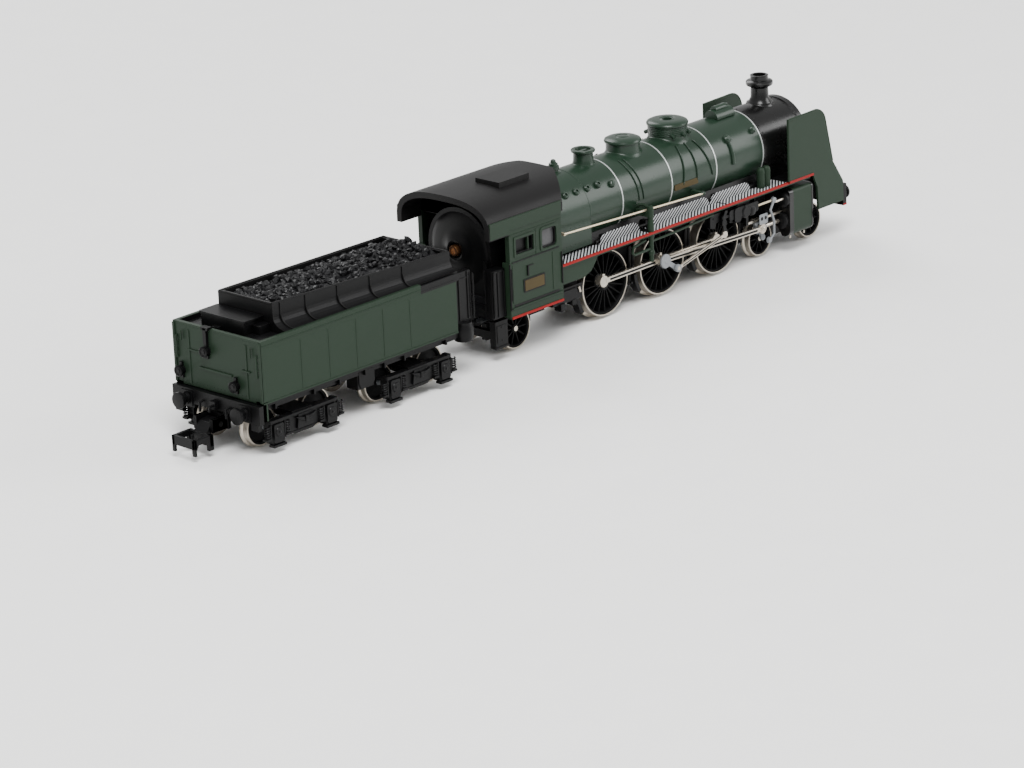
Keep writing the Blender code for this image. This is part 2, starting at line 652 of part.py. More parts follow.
def motor(frame):
    axis = (0, MOTOR_AXIS_Z)
    outline = [(-MOTOR_RADIUS, CRADLE_TOP + FIT_GAP), (MOTOR_RADIUS, CRADLE_TOP + FIT_GAP)]
    outline += arc(axis, MOTOR_RADIUS, 0, 180, 20)
    case = prism("X", outline, MOTOR_CASE)
    bore = round_bar("X", axis, MOTOR_RADIUS - MOTOR_WALL, (MOTOR_CASE[0] + MOTOR_WALL, MOTOR_CASE[1] + 1),
                     24)
    shaft_hole = round_bar("X", axis, MOTOR_SHAFT_RADIUS + BORE_GAP, (MOTOR_CASE[0] - 1, MOTOR_CASE[0] + 2))
    piece("motor_case", BLACK, without(case, bore, shaft_hole), parent=frame)
    shaft_ends = MOTOR_SHAFT
    radius = MOTOR_SHAFT_RADIUS
    armature = MOTOR_RADIUS - MOTOR_WALL - ARMATURE_GAP
    profile = [(shaft_ends[0], 0), (shaft_ends[0], radius), (COMMUTATOR[0], radius)]
    profile += [(COMMUTATOR[0], COMMUTATOR_RADIUS), (COMMUTATOR[1], COMMUTATOR_RADIUS)]
    profile += [(COMMUTATOR[1], radius), (ARMATURE[0], radius), (ARMATURE[0], armature)]
    profile += [(ARMATURE[1], armature), (ARMATURE[1], radius), (shaft_ends[1], radius), (shaft_ends[1], 0)]
    pivot = (ARMATURE[0], 0, MOTOR_AXIS_Z)
    piece("motor_rotor", COPPER, turned("X", axis, profile, 16), pivot, frame)
    bearing_end = MOTOR_CASE[0] - FIT_GAP
    bearing = round_bar("X", axis, BEARING_FLANGE_RADIUS, (bearing_end - BEARING_LENGTH, bearing_end), 20)
    bore = round_bar("X", axis, radius + BORE_GAP, (bearing_end - BEARING_LENGTH - 1, bearing_end + 1), 16)
    piece("motor_bearing", BRASS, without(bearing, bore), parent=frame)
    for name, side in (("brush_left", 1), ("brush_right", -1)):
        start = COMMUTATOR_RADIUS + FIT_GAP
        half = BRUSH_WIDTH / 2
        middle = sum(COMMUTATOR) / 2
        across = mirrored((start, start + BRUSH_LENGTH), side)
        brush = box((middle - half, middle + half), across, (MOTOR_AXIS_Z - half, MOTOR_AXIS_Z + half))
        piece(name, CARBON, brush, parent=frame)
    inner = radius + 0.03
    worm = (WORM_WHEEL_X - WORM_LENGTH / 2, WORM_WHEEL_X + WORM_LENGTH / 2)
    sleeve = round_bar("X", axis, inner + WORM_WALL, worm, 16)
    bore = round_bar("X", axis, inner, (worm[0] - 1, worm[1] + 1), 16)
    piece("worm", BRASS, without(sleeve, bore), (WORM_WHEEL_X, 0, MOTOR_AXIS_Z), frame)


def boiler_shell():
    axis = (0, BOILER_Z)
    shell = round_bar("X", axis, BOILER_RADIUS, BOILER, ROUND_FACETS)
    wide = (-FIREBOX_HALF_WIDTH, FIREBOX_HALF_WIDTH)
    firebox = box((BOILER[0], FIREBOX_FRONT), wide, (FIREBOX_BOTTOM, BOILER_Z))
    turret = [(BOILER_Z, 0), (BOILER_Z, TURRET_RADIUS), (TURRET_TOP - 1, TURRET_RADIUS)]
    turret += [(TURRET_TOP - 0.9, TURRET_RADIUS + 0.3), (TURRET_TOP, TURRET_RADIUS), (TURRET_TOP, 0)]
    stand = turned("Z", (TURRET_X, 0), turret, 16)
    feed = box(FEED_BOX, (-FEED_BOX_HALF_WIDTH, FEED_BOX_HALF_WIDTH), (BOILER_Z, FEED_BOX_TOP))
    body = joined(shell, firebox, stand, feed)
    bore = round_bar("X", axis, BOILER_RADIUS - BOILER_WALL, (BOILER[0] - 1, BOILER[1] + 1), 24)
    inner = FIREBOX_HALF_WIDTH - BOILER_WALL
    hollow = box((BOILER[0] - 2, FIREBOX_FRONT - BOILER_WALL), (-inner, inner),
                 (FIREBOX_BOTTOM - 1, BOILER_Z))
    half = BOILER_SLOT_HALF_WIDTH
    slot = box((BOILER[0] - 3, BOILER[1] + 3), (-half, half), (BOILER_Z - BOILER_RADIUS - 1, BOILER_Z - 2))
    return piece("boiler_shell", GREEN, without(body, bore, hollow, slot))


def smokebox(parent):
    axis = (0, BOILER_Z)
    rear = BOILER[1] + FIT_GAP
    profile = [(rear, 0), (rear, BOILER_RADIUS), (SMOKEBOX_FRONT - 1.2, BOILER_RADIUS)]
    profile += [(SMOKEBOX_FRONT - 1.1, SMOKEBOX_RADIUS), (SMOKEBOX_FRONT, SMOKEBOX_RADIUS)]
    profile += [(SMOKEBOX_FRONT + 0.1, 5.0), (DOOR_FRONT - 0.7, 4.2), (DOOR_FRONT, 2.0), (DOOR_FRONT, 0)]
    body = turned("X", axis, profile, ROUND_FACETS)
    bore = round_bar("X", axis, BOILER_RADIUS - BOILER_WALL, (rear - 1, SMOKEBOX_FRONT - 1.5), 24)
    piece("smokebox", BLACK, without(body, bore), parent=parent)


def on_boiler(name, look, x, profile, radius, parent):
    """A turned fitting whose foot is cut to sit on the boiler or smokebox."""
    fitting = turned("Z", (x, 0), profile, 20)
    seat = round_bar("X", (0, BOILER_Z), radius + FIT_GAP, (x - 10, x + 10), 64)
    piece(name, look, without(fitting, seat), (x, 0, BOILER_Z), parent)


def domes(parent):
    low = BOILER_Z + 2
    radius = SAND_DOME_RADIUS
    top = SAND_DOME_TOP
    sand = [(low, 0), (low, radius + 0.15), (top - 2.6, radius + 0.15), (top - 2.2, radius),
            (top - 1.1, radius)]
    sand += [(top - 0.35, radius * 0.86), (top - 0.05, radius * 0.6), (top, 1.0), (top - 0.7, 0.9),
             (top - 0.7, 0)]
    on_boiler("sand_dome", GREEN, SAND_DOME_X, sand, BOILER_RADIUS, parent)
    radius = STEAM_DOME_RADIUS
    top = STEAM_DOME_TOP
    steam = [(low, 0), (low, radius + 0.15), (top - 2.3, radius + 0.15), (top - 1.9, radius),
             (top - 1.0, radius)]
    steam += [(top - 0.3, radius * 0.82), (top, radius * 0.4), (top, 0)]
    on_boiler("steam_dome", GREEN, STEAM_DOME_X, steam, BOILER_RADIUS, parent)
    radius = SAFETY_VALVE_RADIUS
    top = SAFETY_VALVE_TOP
    valve = [(low, 0), (low, radius + 0.3), (BOILER_Z + BOILER_RADIUS + 0.4, radius + 0.3)]
    valve += [(BOILER_Z + BOILER_RADIUS + 0.6, radius), (top - 0.3, radius), (top, radius * 0.6), (top, 0)]
    on_boiler("safety_valve", GREEN, SAFETY_VALVE_X, valve, BOILER_RADIUS, parent)
    top = CHIMNEY_TOP
    radius = CHIMNEY_RADIUS
    rim = CHIMNEY_RIM_RADIUS
    chimney = [(low, 0), (low, rim), (BOILER_Z + BOILER_RADIUS + 0.3, rim), (top - 3.4, radius),
               (top - 1.8, radius)]
    chimney += [(top - 1.4, rim), (top - 0.9, rim), (top - 0.7, radius), (top, radius)]
    chimney += [(top, radius - 0.45), (top - 2.0, radius - 0.45), (top - 2.0, 0)]
    on_boiler("chimney", BLACK, CHIMNEY_X, chimney, BOILER_RADIUS, parent)


def arch(half_width, crown, springing, low):
    """The section of the roof: upright below the springing height, then a flattened half ellipse."""
    points = [(half_width, low)]
    steps = 16
    flatness = 0.75
    for i in range(steps + 1):
        angle = math.pi * i / steps
        across = half_width * math.copysign(abs(math.cos(angle)) ** flatness, math.cos(angle))
        points.append((across, springing + (crown - springing) * abs(math.sin(angle)) ** flatness))
    return points + [(-half_width, low)]


def cab_plan(half_width, rear, corner, nose):
    return [(rear, -half_width), (corner, -half_width), (nose, 0), (corner, half_width), (rear, half_width)]


def inside_both(first, second):
    return boolean(first, [second], "INTERSECT")


def cab_shell(parent):
    wall = CAB_WALL
    half = CAB_HALF_WIDTH
    tall = (CAB_BOTTOM, ROOF_CROWN + 2)
    run = (CAB_REAR - 5, CAB_NOSE + 5)
    crown = ROOF_CROWN - ROOF_THICKNESS
    outer = prism("Z", cab_plan(half, CAB_REAR, CAB_CORNER, CAB_NOSE), tall)
    outer = inside_both(outer, prism("X", arch(half, ROOF_CROWN, CAB_SPRINGING, 0), run))
    plan = cab_plan(half - wall, CAB_REAR - 1, CAB_CORNER - 0.5 * wall, CAB_NOSE - 1.1 * wall)
    inner = prism("Z", plan, (CAB_BOTTOM - 1, ROOF_CROWN + 3))
    inner = inside_both(inner, prism("X", arch(half - wall, ROOF_CROWN, CAB_SPRINGING, 0), run))
    top = CAB_SIDE_TOP - FIT_GAP
    above = box(run, (-20, 20), (top, ROOF_CROWN + 5))
    below_roof = arch(half - ROOF_THICKNESS - FIT_GAP, crown - FIT_GAP, CAB_SPRINGING, 0)
    above = without(above, prism("X", below_roof, (run[0] - 1, run[1] + 1)))
    cuts = [inner, above]
    cuts.append(box((CAB_CORNER + FIT_GAP, CAB_NOSE + 3), (-20, 20), (CAB_BOTTOM - 2, BOARD_TOP + FIT_GAP)))
    around = FIREBOX_HALF_WIDTH + FIT_GAP
    cuts.append(round_bar("X", (0, BOILER_Z), around, (CAB_CORNER - 2, CAB_NOSE + 2), 32))
    cuts.append(box((CAB_CORNER - 2, CAB_NOSE + 2), (-around, around), (CAB_BOTTOM - 3, BOILER_Z)))
    for rear, front, low, high in (FRONT_WINDOW, REAR_WINDOW):
        cuts.append(box((rear, front), (-20, 20), (low, high)))
    piece("cab_shell", GREEN, without(outer, *cuts), parent=parent)


def cab_roof(parent):
    """The arched roof, which comes further down its sides behind the cab."""
    half = CAB_HALF_WIDTH + ROOF_OVERHANG
    run = (ROOF_REAR, ROOF_NOSE + 1)
    shell = prism("X", arch(half, ROOF_CROWN, CAB_SPRINGING, ROOF_RIM), run)
    under = arch(half - ROOF_THICKNESS, ROOF_CROWN - ROOF_THICKNESS, CAB_SPRINGING, ROOF_RIM - 1)
    hatch = box(HATCH, HATCH_Y, (ROOF_CROWN - 1.0, HATCH_TOP))
    sides = box((CAB_REAR - FIT_GAP, ROOF_NOSE + 2), (-half - 1, half + 1), (ROOF_RIM - 2, CAB_SIDE_TOP))
    hollow = prism("X", under, (run[0] - 1, run[1] + 1))
    keep = prism("Z", cab_plan(half + 0.1, ROOF_REAR - 1, CAB_CORNER + 0.3, ROOF_NOSE), (0, ROOF_CROWN + 5))
    shape = inside_both(without(joined(shell, hatch), hollow, sides), keep)
    piece("cab_roof", BLACK, shape, parent=parent)


def cab_floor(parent):
    """The black insert below the cab with the two door panels behind it."""
    parts = []
    for side in (-1, 1):
        parts.append(box(DOOR_PANEL, mirrored(DOOR_PANEL_Y, side), DOOR_PANEL_Z))
        inner = CRADLE_HALF_WIDTH + 0.4
        strip = mirrored((inner, CAB_HALF_WIDTH - CAB_WALL - FIT_GAP), side)
        low = DOOR_PANEL_Z[0]
        parts.append(box((DOOR_PANEL[1] - 0.5, CAB_CORNER - 0.8), strip, (low, low + 1.0)))
    beam = box((DOOR_PANEL[0], CRADLE[0] - FIT_GAP), (-DOOR_PANEL_Y[1], DOOR_PANEL_Y[1]), (7.3, 8.6))
    piece("cab_floor", BLACK, joined(beam, *parts), parent=parent)


def running_board(name, side, parent):
    span = mirrored((FRAME_HALF_WIDTH + FIT_GAP, BOARD_HALF_WIDTH), side)
    shape = box(BOARD, span, (BOARD_TOP - BOARD_THICKNESS, BOARD_TOP))
    high = BOARD_TOP - BOARD_THICKNESS / 2
    sheet = [(BOARD[0], high), (BOARD[0], SHEET_BOTTOM), (SHEET_FRONT - 3.3, SHEET_BOTTOM)]
    sheet += [(SHEET_FRONT - 1.7, SHEET_BOTTOM + 0.6), (SHEET_FRONT, high)]
    shape = joined(shape, prism("Y", sheet, mirrored(SHEET_Y, side)))
    if side < 0:
        pipe = round_bar("Z", (PUMP_PIPE_X, side * PUMP_PIPE_Y), PUMP_PIPE_RADIUS, PUMP_PIPE_Z)
        shape = joined(shape, pipe)
    piece(name, GREEN, shape, parent=parent)


def deflector(name, side, parent):
    bottom = BOARD_TOP + FIT_GAP
    outline = [(DEFLECTOR_REAR, bottom), (DEFLECTOR_REAR, DEFLECTOR_TOP)]
    outline += arc((33.9, DEFLECTOR_TOP - 2.4), 2.4, 90, 15, 6)
    outline += [(37.9, 13.0), (40.4, 9.2), (40.5, DEFLECTOR_FOOT), (34.25, DEFLECTOR_FOOT), (34.0, 9.6),
                (32.9, bottom)]
    half = DEFLECTOR_THICKNESS / 2
    span = mirrored((DEFLECTOR_Y - half, DEFLECTOR_Y + half), side)
    plate = prism("Y", outline, span)
    piece(name, GREEN, plate, parent=parent)


def reach_rod(parent):
    (x0, z0), (x1, z1) = REACH_ROD
    half = REACH_ROD_THICKNESS / 2
    outline = [(x0, z0 - half), (x1, z1 - half), (x1, z1 + half), (x0, z0 + half)]
    bar = prism("Y", outline, (-REACH_ROD_Y - half, -REACH_ROD_Y + half))
    rear_bracket = box((x0, x0 + 0.6), (-REACH_ROD_Y, -FIREBOX_HALF_WIDTH - FIT_GAP), (z0 - 0.4, z0 + 0.1))
    seat = math.sqrt(BOILER_RADIUS**2 - (BOILER_Z - z1 - 0.4) ** 2) + FIT_GAP
    front_bracket = box((x1 - 0.7, x1), (-REACH_ROD_Y, -seat), (z1 - 0.3, z1 + 0.3))
    piece("reach_rod", STEEL, joined(bar, rear_bracket, front_bracket), parent=parent)


def cylinder(name, side, parent):
    low, high = CYLINDER_Z
    inner, outer = CYLINDER_Y
    corner = 1.3
    outline = [(inner, low + 1.4), (inner + 0.8, low), (outer - corner, low)]
    outline += arc((outer - corner, low + corner), corner, -80, 0, 4)
    outline += [(outer, high), (inner, high)]
    casing = prism("X", [(y * side, z) for y, z in outline], CYLINDER)
    bridge = box((CYLINDER[0] + 0.7, CYLINDER[1] - 0.7),
                 mirrored((FRAME_HALF_WIDTH + FIT_GAP, inner + 0.5), side), (9.0, high))
    bore_y = side * sum(COUPLING_LAYER) / 2
    cover_radius = 0.62
    gland = round_bar("X", (bore_y, AXLE_Z), cover_radius, (CYLINDER[0] - 0.7, CYLINDER[0] + 1), 16)
    valve = round_bar("X", (side * 7.25, 9.1), 1.2, (CYLINDER[0] - CYLINDER_COVER, CYLINDER[0] + 1), 20)
    bar = box((SLIDE_BAR_REAR, CYLINDER[0] + 0.5), mirrored(COUPLING_LAYER, side), SLIDE_BAR_Z)
    body = joined(casing, bridge, valve, gland, bar)
    bore = round_bar("X", (bore_y, AXLE_Z), PISTON_ROD_RADIUS + BORE_GAP,
                     (CYLINDER[0] - 3, CYLINDER[1] - 1))
    piece(name, GREEN, without(body, bore), parent=parent)


def valve_gear(name, side, parent):
    """The motion bracket with the fixed expansion link, radius rod and combination lever on it."""
    bracket = box(BRACKET_X, mirrored((FRAME_HALF_WIDTH + FIT_GAP, BRACKET_Y), side), BRACKET_BEAM_Z)
    low, high = BRACKET_BEAM_Z
    beam = box((BRACKET_BEAM_REAR, BRACKET_X[1]), mirrored((COUPLING_LAYER[0], BRACKET_Y), side),
               (low, high))
    layer = mirrored(RETURN_LAYER, side)
    link = prism("Y", rod_outline([(LINK_X, LINK_Z - LINK_HALF_HEIGHT),
                                   (LINK_X, LINK_Z + LINK_HALF_HEIGHT)], 0.5, 0.45), layer)
    lever_top, lever_foot = COMBINATION_LEVER
    radius_rod = prism("Y", rod_outline([(LINK_X, lever_top[1]), lever_top], 0.5, 0.25), layer)
    lever = prism("Y", rod_outline([lever_foot, lever_top], 0.45, 0.26), layer)
    boss = box((LINK_X + 1.5, LINK_X + 3.5), mirrored((BRACKET_Y - 0.5, RETURN_LAYER[1] - 0.1), side),
               (low + 0.3, high - 0.3))
    piece(name, STEEL, joined(bracket, beam, boss, link, radius_rod, lever), parent=parent)


def rods(side, word, driven, frame):
    """The moving rods of one side. driven is the middle wheelset, which carries them."""
    dx, dz = crank_pin(side)
    pin_z = AXLE_Z + dz
    hole = CRANK_PIN_RADIUS + BORE_GAP
    centres = [(x + dx, pin_z) for x in (-DRIVER_SPACING, 0, DRIVER_SPACING)]
    layer = mirrored(COUPLING_LAYER, side)
    coupling = prism("Y", rod_outline(centres, COUPLING_BOSS, COUPLING_HALF_HEIGHT), layer)
    holes = [round_bar("Y", centre, hole, (layer[0] - 1, layer[1] + 1)) for centre in centres]
    pin = (dx, side * sum(COUPLING_LAYER) / 2, pin_z)
    piece("coupling_rod_" + word, STEEL, without(coupling, *holes), pin, driven)

    small_end = (dx + math.sqrt(MAIN_ROD_LENGTH**2 - dz**2), AXLE_Z)
    layer = mirrored(MAIN_LAYER, side)
    main = prism("Y", rod_outline([(dx, pin_z), small_end], MAIN_BOSS, MAIN_HALF_HEIGHT), layer)
    holes = [round_bar("Y", centre, hole, (layer[0] - 1, layer[1] + 1)) for centre in ((dx, pin_z),
                                                                                       small_end)]
    pin = (dx, side * sum(MAIN_LAYER) / 2, pin_z)
    piece("main_rod_" + word, STEEL, without(main, *holes), pin, driven)

    centre_y = side * sum(COUPLING_LAYER) / 2
    half = CROSSHEAD_LENGTH / 2
    top = SLIDE_BAR_Z[0] - FIT_GAP
    head = box((small_end[0] - half, small_end[0] + half), mirrored(COUPLING_LAYER, side),
               (top - CROSSHEAD_HEIGHT, top))
    rod_end = CYLINDER[0] + CRANK_THROW + 0.8 + dx
    piston_rod = round_bar("X", (centre_y, AXLE_Z), PISTON_ROD_RADIUS, (small_end[0], rod_end))
    piece("crosshead_" + word, STEEL, joined(head, piston_rod), (small_end[0], centre_y, AXLE_Z), frame)

    ex, ez = eccentric_pin(side)
    ball = (ex, AXLE_Z + ez)
    layer = mirrored(RETURN_LAYER, side)
    arm = prism("Y", rod_outline([(dx, pin_z), ball], 0.5, 0.35), layer)
    disc = round_bar("Y", (dx, pin_z), RETURN_DISC_RADIUS, layer, 20)
    stud = round_bar("Y", ball, ECCENTRIC_PIN_RADIUS,
                     mirrored((RETURN_LAYER[0] + 0.1, ECCENTRIC_LAYER[1] + 0.05), side))
    piece("return_crank_" + word, STEEL, joined(disc, arm, stud), (0, centre_y, AXLE_Z), driven)

    run, rise = polar(ECCENTRIC_ROD_LENGTH, ECCENTRIC_ROD_SLOPE)
    layer = mirrored(ECCENTRIC_LAYER, side)
    far = (ball[0] + run, ball[1] + rise)
    rod = prism("Y", rod_outline([ball, far], ECCENTRIC_BOSS, ECCENTRIC_HALF_HEIGHT), layer)
    hole = round_bar("Y", ball, ECCENTRIC_PIN_RADIUS + BORE_GAP, (layer[0] - 1, layer[1] + 1))
    piece("eccentric_rod_" + word, STEEL, without(rod, hole),
          (ball[0], side * sum(ECCENTRIC_LAYER) / 2, ball[1]), driven)


def small_wheelset(name, x, radius, axle_z, axle_end, parent):
    profile = wheelset_profile(radius, SMALL_FLANGE_DEPTH, SMALL_WHEEL_WIDTH, SMALL_AXLE_RADIUS, axle_end)
    return piece(name, BLACK, turned("Y", (x, axle_z), profile, SMALL_WHEEL_FACETS), (x, 0, axle_z), parent)


def front_bogie(parent):
    """The inside-framed leading bogie, which swivels on a pin below the frame."""
    centre = (LEADING_CENTRE, 0)
    half = LEADING_WHEELBASE / 2
    reach = half + 1.6
    inner = FRAME_HALF_WIDTH - 0.9
    parts = []
    for side in (-1, 1):
        span = mirrored((inner, FRAME_HALF_WIDTH), side)
        parts.append(box((LEADING_CENTRE - reach, LEADING_CENTRE + reach), span,
                         (LEADING_AXLE_Z - 1.1, LEADING_AXLE_Z + 1.4)))
    plate = box((LEADING_CENTRE - 3, LEADING_CENTRE + 3), (-FRAME_HALF_WIDTH, FRAME_HALF_WIDTH), (3.8, 4.5))
    hub = round_bar("Z", centre, 1.7, (3.8, FRONT_DECK_BOTTOM - FIT_GAP), 20)
    cuts = [round_bar("Z", centre, PIVOT_PIN_RADIUS + BORE_GAP, (2, 9), 16)]
    for x in (LEADING_CENTRE - half, LEADING_CENTRE + half):
        cuts.append(round_bar("Y", (x, LEADING_AXLE_Z), SMALL_AXLE_RADIUS + BORE_GAP, (-4, 4)))
    shape = without(joined(plate, hub, *parts), *cuts)
    bogie = piece("front_bogie", BLACK, shape, (LEADING_CENTRE, 0, LEADING_AXLE_Z), parent)
    for name, x in (("bogie_wheelset_rear", LEADING_CENTRE - half),
                    ("bogie_wheelset_front", LEADING_CENTRE + half)):
        small_wheelset(name, x, LEADING_RADIUS, LEADING_AXLE_Z, None, bogie)


def trailing_truck(parent):
    """The truck below the cab, hinged ahead of its axle: plates inside its wheels, a step box behind each."""
    wheel = TRAILING_RADIUS + SMALL_FLANGE_DEPTH
    front_beam = TRAILING_AXLE_X + wheel + 0.4
    rear_beam = TRAILING_AXLE_X - wheel - 0.5
    inner = FRAME_HALF_WIDTH - 0.9
    parts = [box((rear_beam - 0.9, rear_beam), (-TRUCK_STEP_Y[1], TRUCK_STEP_Y[1]), TRUCK_BEAM_Z)]
    parts.append(box((front_beam, front_beam + 1.3), (-FRAME_HALF_WIDTH, FRAME_HALF_WIDTH), TRUCK_BEAM_Z))
    for side in (-1, 1):
        plate = mirrored((inner, FRAME_HALF_WIDTH), side)
        parts.append(box((rear_beam - 0.5, front_beam + 1.0), plate,
                         (TRAILING_AXLE_Z - 1.0, TRAILING_AXLE_Z + 1.5)))
        parts.append(box((TRUCK_REAR, TRUCK_REAR + TRUCK_STEP_LENGTH), mirrored(TRUCK_STEP_Y, side),
                         TRUCK_STEP_Z))
    arm = box((front_beam, TRAILING_PIVOT_X + 1.5), (-1.5, 1.5), TRUCK_BEAM_Z)
    body = joined(arm, *parts)
    cuts = [round_bar("Z", (TRAILING_PIVOT_X, 0), PIVOT_PIN_RADIUS + BORE_GAP, (0, 8), 16)]
    cuts.append(round_bar("Y", (TRAILING_AXLE_X, TRAILING_AXLE_Z), SMALL_AXLE_RADIUS + BORE_GAP, (-4, 4)))
    truck = piece("trailing_truck", BLACK, without(body, *cuts), (TRAILING_PIVOT_X, 0, TRAILING_AXLE_Z),
                  parent)
    small_wheelset("trailing_wheelset", TRAILING_AXLE_X, TRAILING_RADIUS, TRAILING_AXLE_Z, None, truck)


def buffers(face, inward, y, z, beam_face):
    """Two buffers from a beam's face. inward is the direction along X from the heads to the beam."""
    shapes = []
    for side in (-1, 1):
        shapes.append(round_bar("X", (side * y, z), BUFFER_HEAD_RADIUS, (face, face + inward * 0.5), 20))
        shapes.append(round_bar("X", (side * y, z), BUFFER_SHANK_RADIUS,
                                (face + inward * 0.3, beam_face + inward * 0.3)))
    return shapes


def buffer_beam(parent):
    beam = box(BEAM, (-BEAM_HALF_WIDTH, BEAM_HALF_WIDTH), BEAM_Z)
    half = DEFLECTOR_Y - DEFLECTOR_THICKNESS / 2 - FIT_GAP
    plate_z = (FRONT_DECK_TOP + FIT_GAP, FRONT_DECK_TOP + FIT_GAP + 0.45)
    plate = box((FRONT_PLATE_REAR + 0.8, BEAM[1]), (-half, half), plate_z)
    riser = box(BEAM, (-4.0, 4.0), (BEAM_Z[0] + 1, plate_z[1]))
    shape = joined(beam, riser, plate, *buffers(BUFFER_FACE, -1, BUFFER_Y, BUFFER_Z, BEAM[1]))
    piece("buffer_beam_front", BLACK, shape, parent=parent)


def drawbar(parent):
    outline = rod_outline([(TENDER_PIN_X, 0), (DRAWBAR_PIN_X, 0)], DRAWBAR_RADIUS, 0.9, 10)
    bar = prism("Z", outline, DRAWBAR_Z)
    cuts = []
    for x in (TENDER_PIN_X, DRAWBAR_PIN_X):
        cuts.append(round_bar("Z", (x, 0), DRAWBAR_PIN_RADIUS + BORE_GAP, (4, 7), 16))
    return piece("drawbar", BLACK, without(bar, *cuts), (DRAWBAR_PIN_X, 0, DRAWBAR_Z[0]), parent)


def tender_body(parent):
    half = TENDER_HALF_WIDTH
    wall = TENDER_WALL
    shell = box((TENDER_REAR, TENDER_FRONT), (-half, half), (TENDER_BOTTOM, TENDER_TOP))
    strips = []
    for side in (-1, 1):
        strip = mirrored((half - 1.5, half), side)
        strips.append(box((TENDER_REAR, TENDER_REAR + 0.5), strip, (5.2, TENDER_BOTTOM + 1)))
    cuts = [box((TENDER_REAR + wall, TENDER_FRONT - wall), (wall - half, half - wall),
                (TENDER_BOTTOM - 1, WATER_DECK - 0.8))]
    cuts.append(box((TENDER_REAR + wall, TENDER_FRONT + 1), (wall - half, half - wall),
                    (WATER_DECK, TENDER_TOP + 1)))
    cuts.append(box((TENDER_FRONT - FLAP_LENGTH, TENDER_FRONT + 1), (-half - 1, half + 1),
                    (FLAP_TOP, TENDER_TOP + 1)))
    piece("tender_body", GREEN, without(joined(shell, *strips), *cuts), parent=parent)


def bunker_outline(half_width, top, foot_half, foot_z, steps=6):
    """Half of the bunker's section: a foot that curves up into an upright wall."""
    wall_foot = foot_z + 1.6
    flare = [(half_width + (foot_half - half_width) * (1 - math.sin(math.pi * i / 2 / steps)),
              foot_z + 0.45 + (wall_foot - foot_z) * (1 - math.cos(math.pi * i / 2 / steps)))
             for i in range(steps + 1)]
    right = [(foot_half, foot_z)] + flare + [(half_width, top)]
    return right + [(-y, z) for y, z in reversed(right)]


def bunker_ends():
    return TENDER_REAR + BUNKER_REAR_GAP, TENDER_FRONT + BUNKER_OVERHANG


def coal_bunker(parent):
    rear, front = bunker_ends()
    foot = WATER_DECK + FIT_GAP
    sections = []
    hollow = []
    for x, half, top, inset in ((rear, BUNKER_HALF_WIDTH[0], BUNKER_TOP[0], 1),
                                (front, BUNKER_HALF_WIDTH[1], BUNKER_TOP[1], -1)):
        sections.append((x, bunker_outline(half, top, BUNKER_FOOT_HALF_WIDTH, foot)))
        inner = half - BUNKER_WALL
        square = [(inner, BUNKER_FLOOR), (inner, top + 3), (-inner, top + 3), (-inner, BUNKER_FLOOR)]
        hollow.append((x + inset * BUNKER_WALL, square))
    piece("coal_bunker", BLACK, without(loft("X", sections), loft("X", hollow)), parent=parent)


def coal_load(parent):
    """The heap of coal, as a closed block with an uneven top that rises towards the front."""
    rear, front = bunker_ends()
    inset = BUNKER_WALL + COAL_GAP
    rear += inset
    front -= inset
    stations = 14
    columns = 8
    sections = []
    for i in range(stations + 1):
        share = i / stations
        half = BUNKER_HALF_WIDTH[0] + (BUNKER_HALF_WIDTH[1] - BUNKER_HALF_WIDTH[0]) * share - inset
        rim = BUNKER_TOP[0] + (BUNKER_TOP[1] - BUNKER_TOP[0]) * share
        base = BUNKER_FLOOR + COAL_GAP
        outline = [(-half, base), (half, base)]
        for j in range(columns + 1):
            across = 1 - 2 * j / columns
            crown = 1.3 * share * (1 - across**2)
            rough = 0.25 * math.sin(5.1 * i + 3.7 * j) * math.cos(2.3 * i - 4.1 * j)
            outline.append((half * across, rim - 0.55 + crown + rough))
        sections.append((rear + (front - rear) * share, outline))
    piece("coal_load", COAL, loft("X", sections), parent=parent)


def bogie_centres():
    return TENDER_FRONT - TENDER_BOGIE_INSET, TENDER_REAR + TENDER_BOGIE_INSET


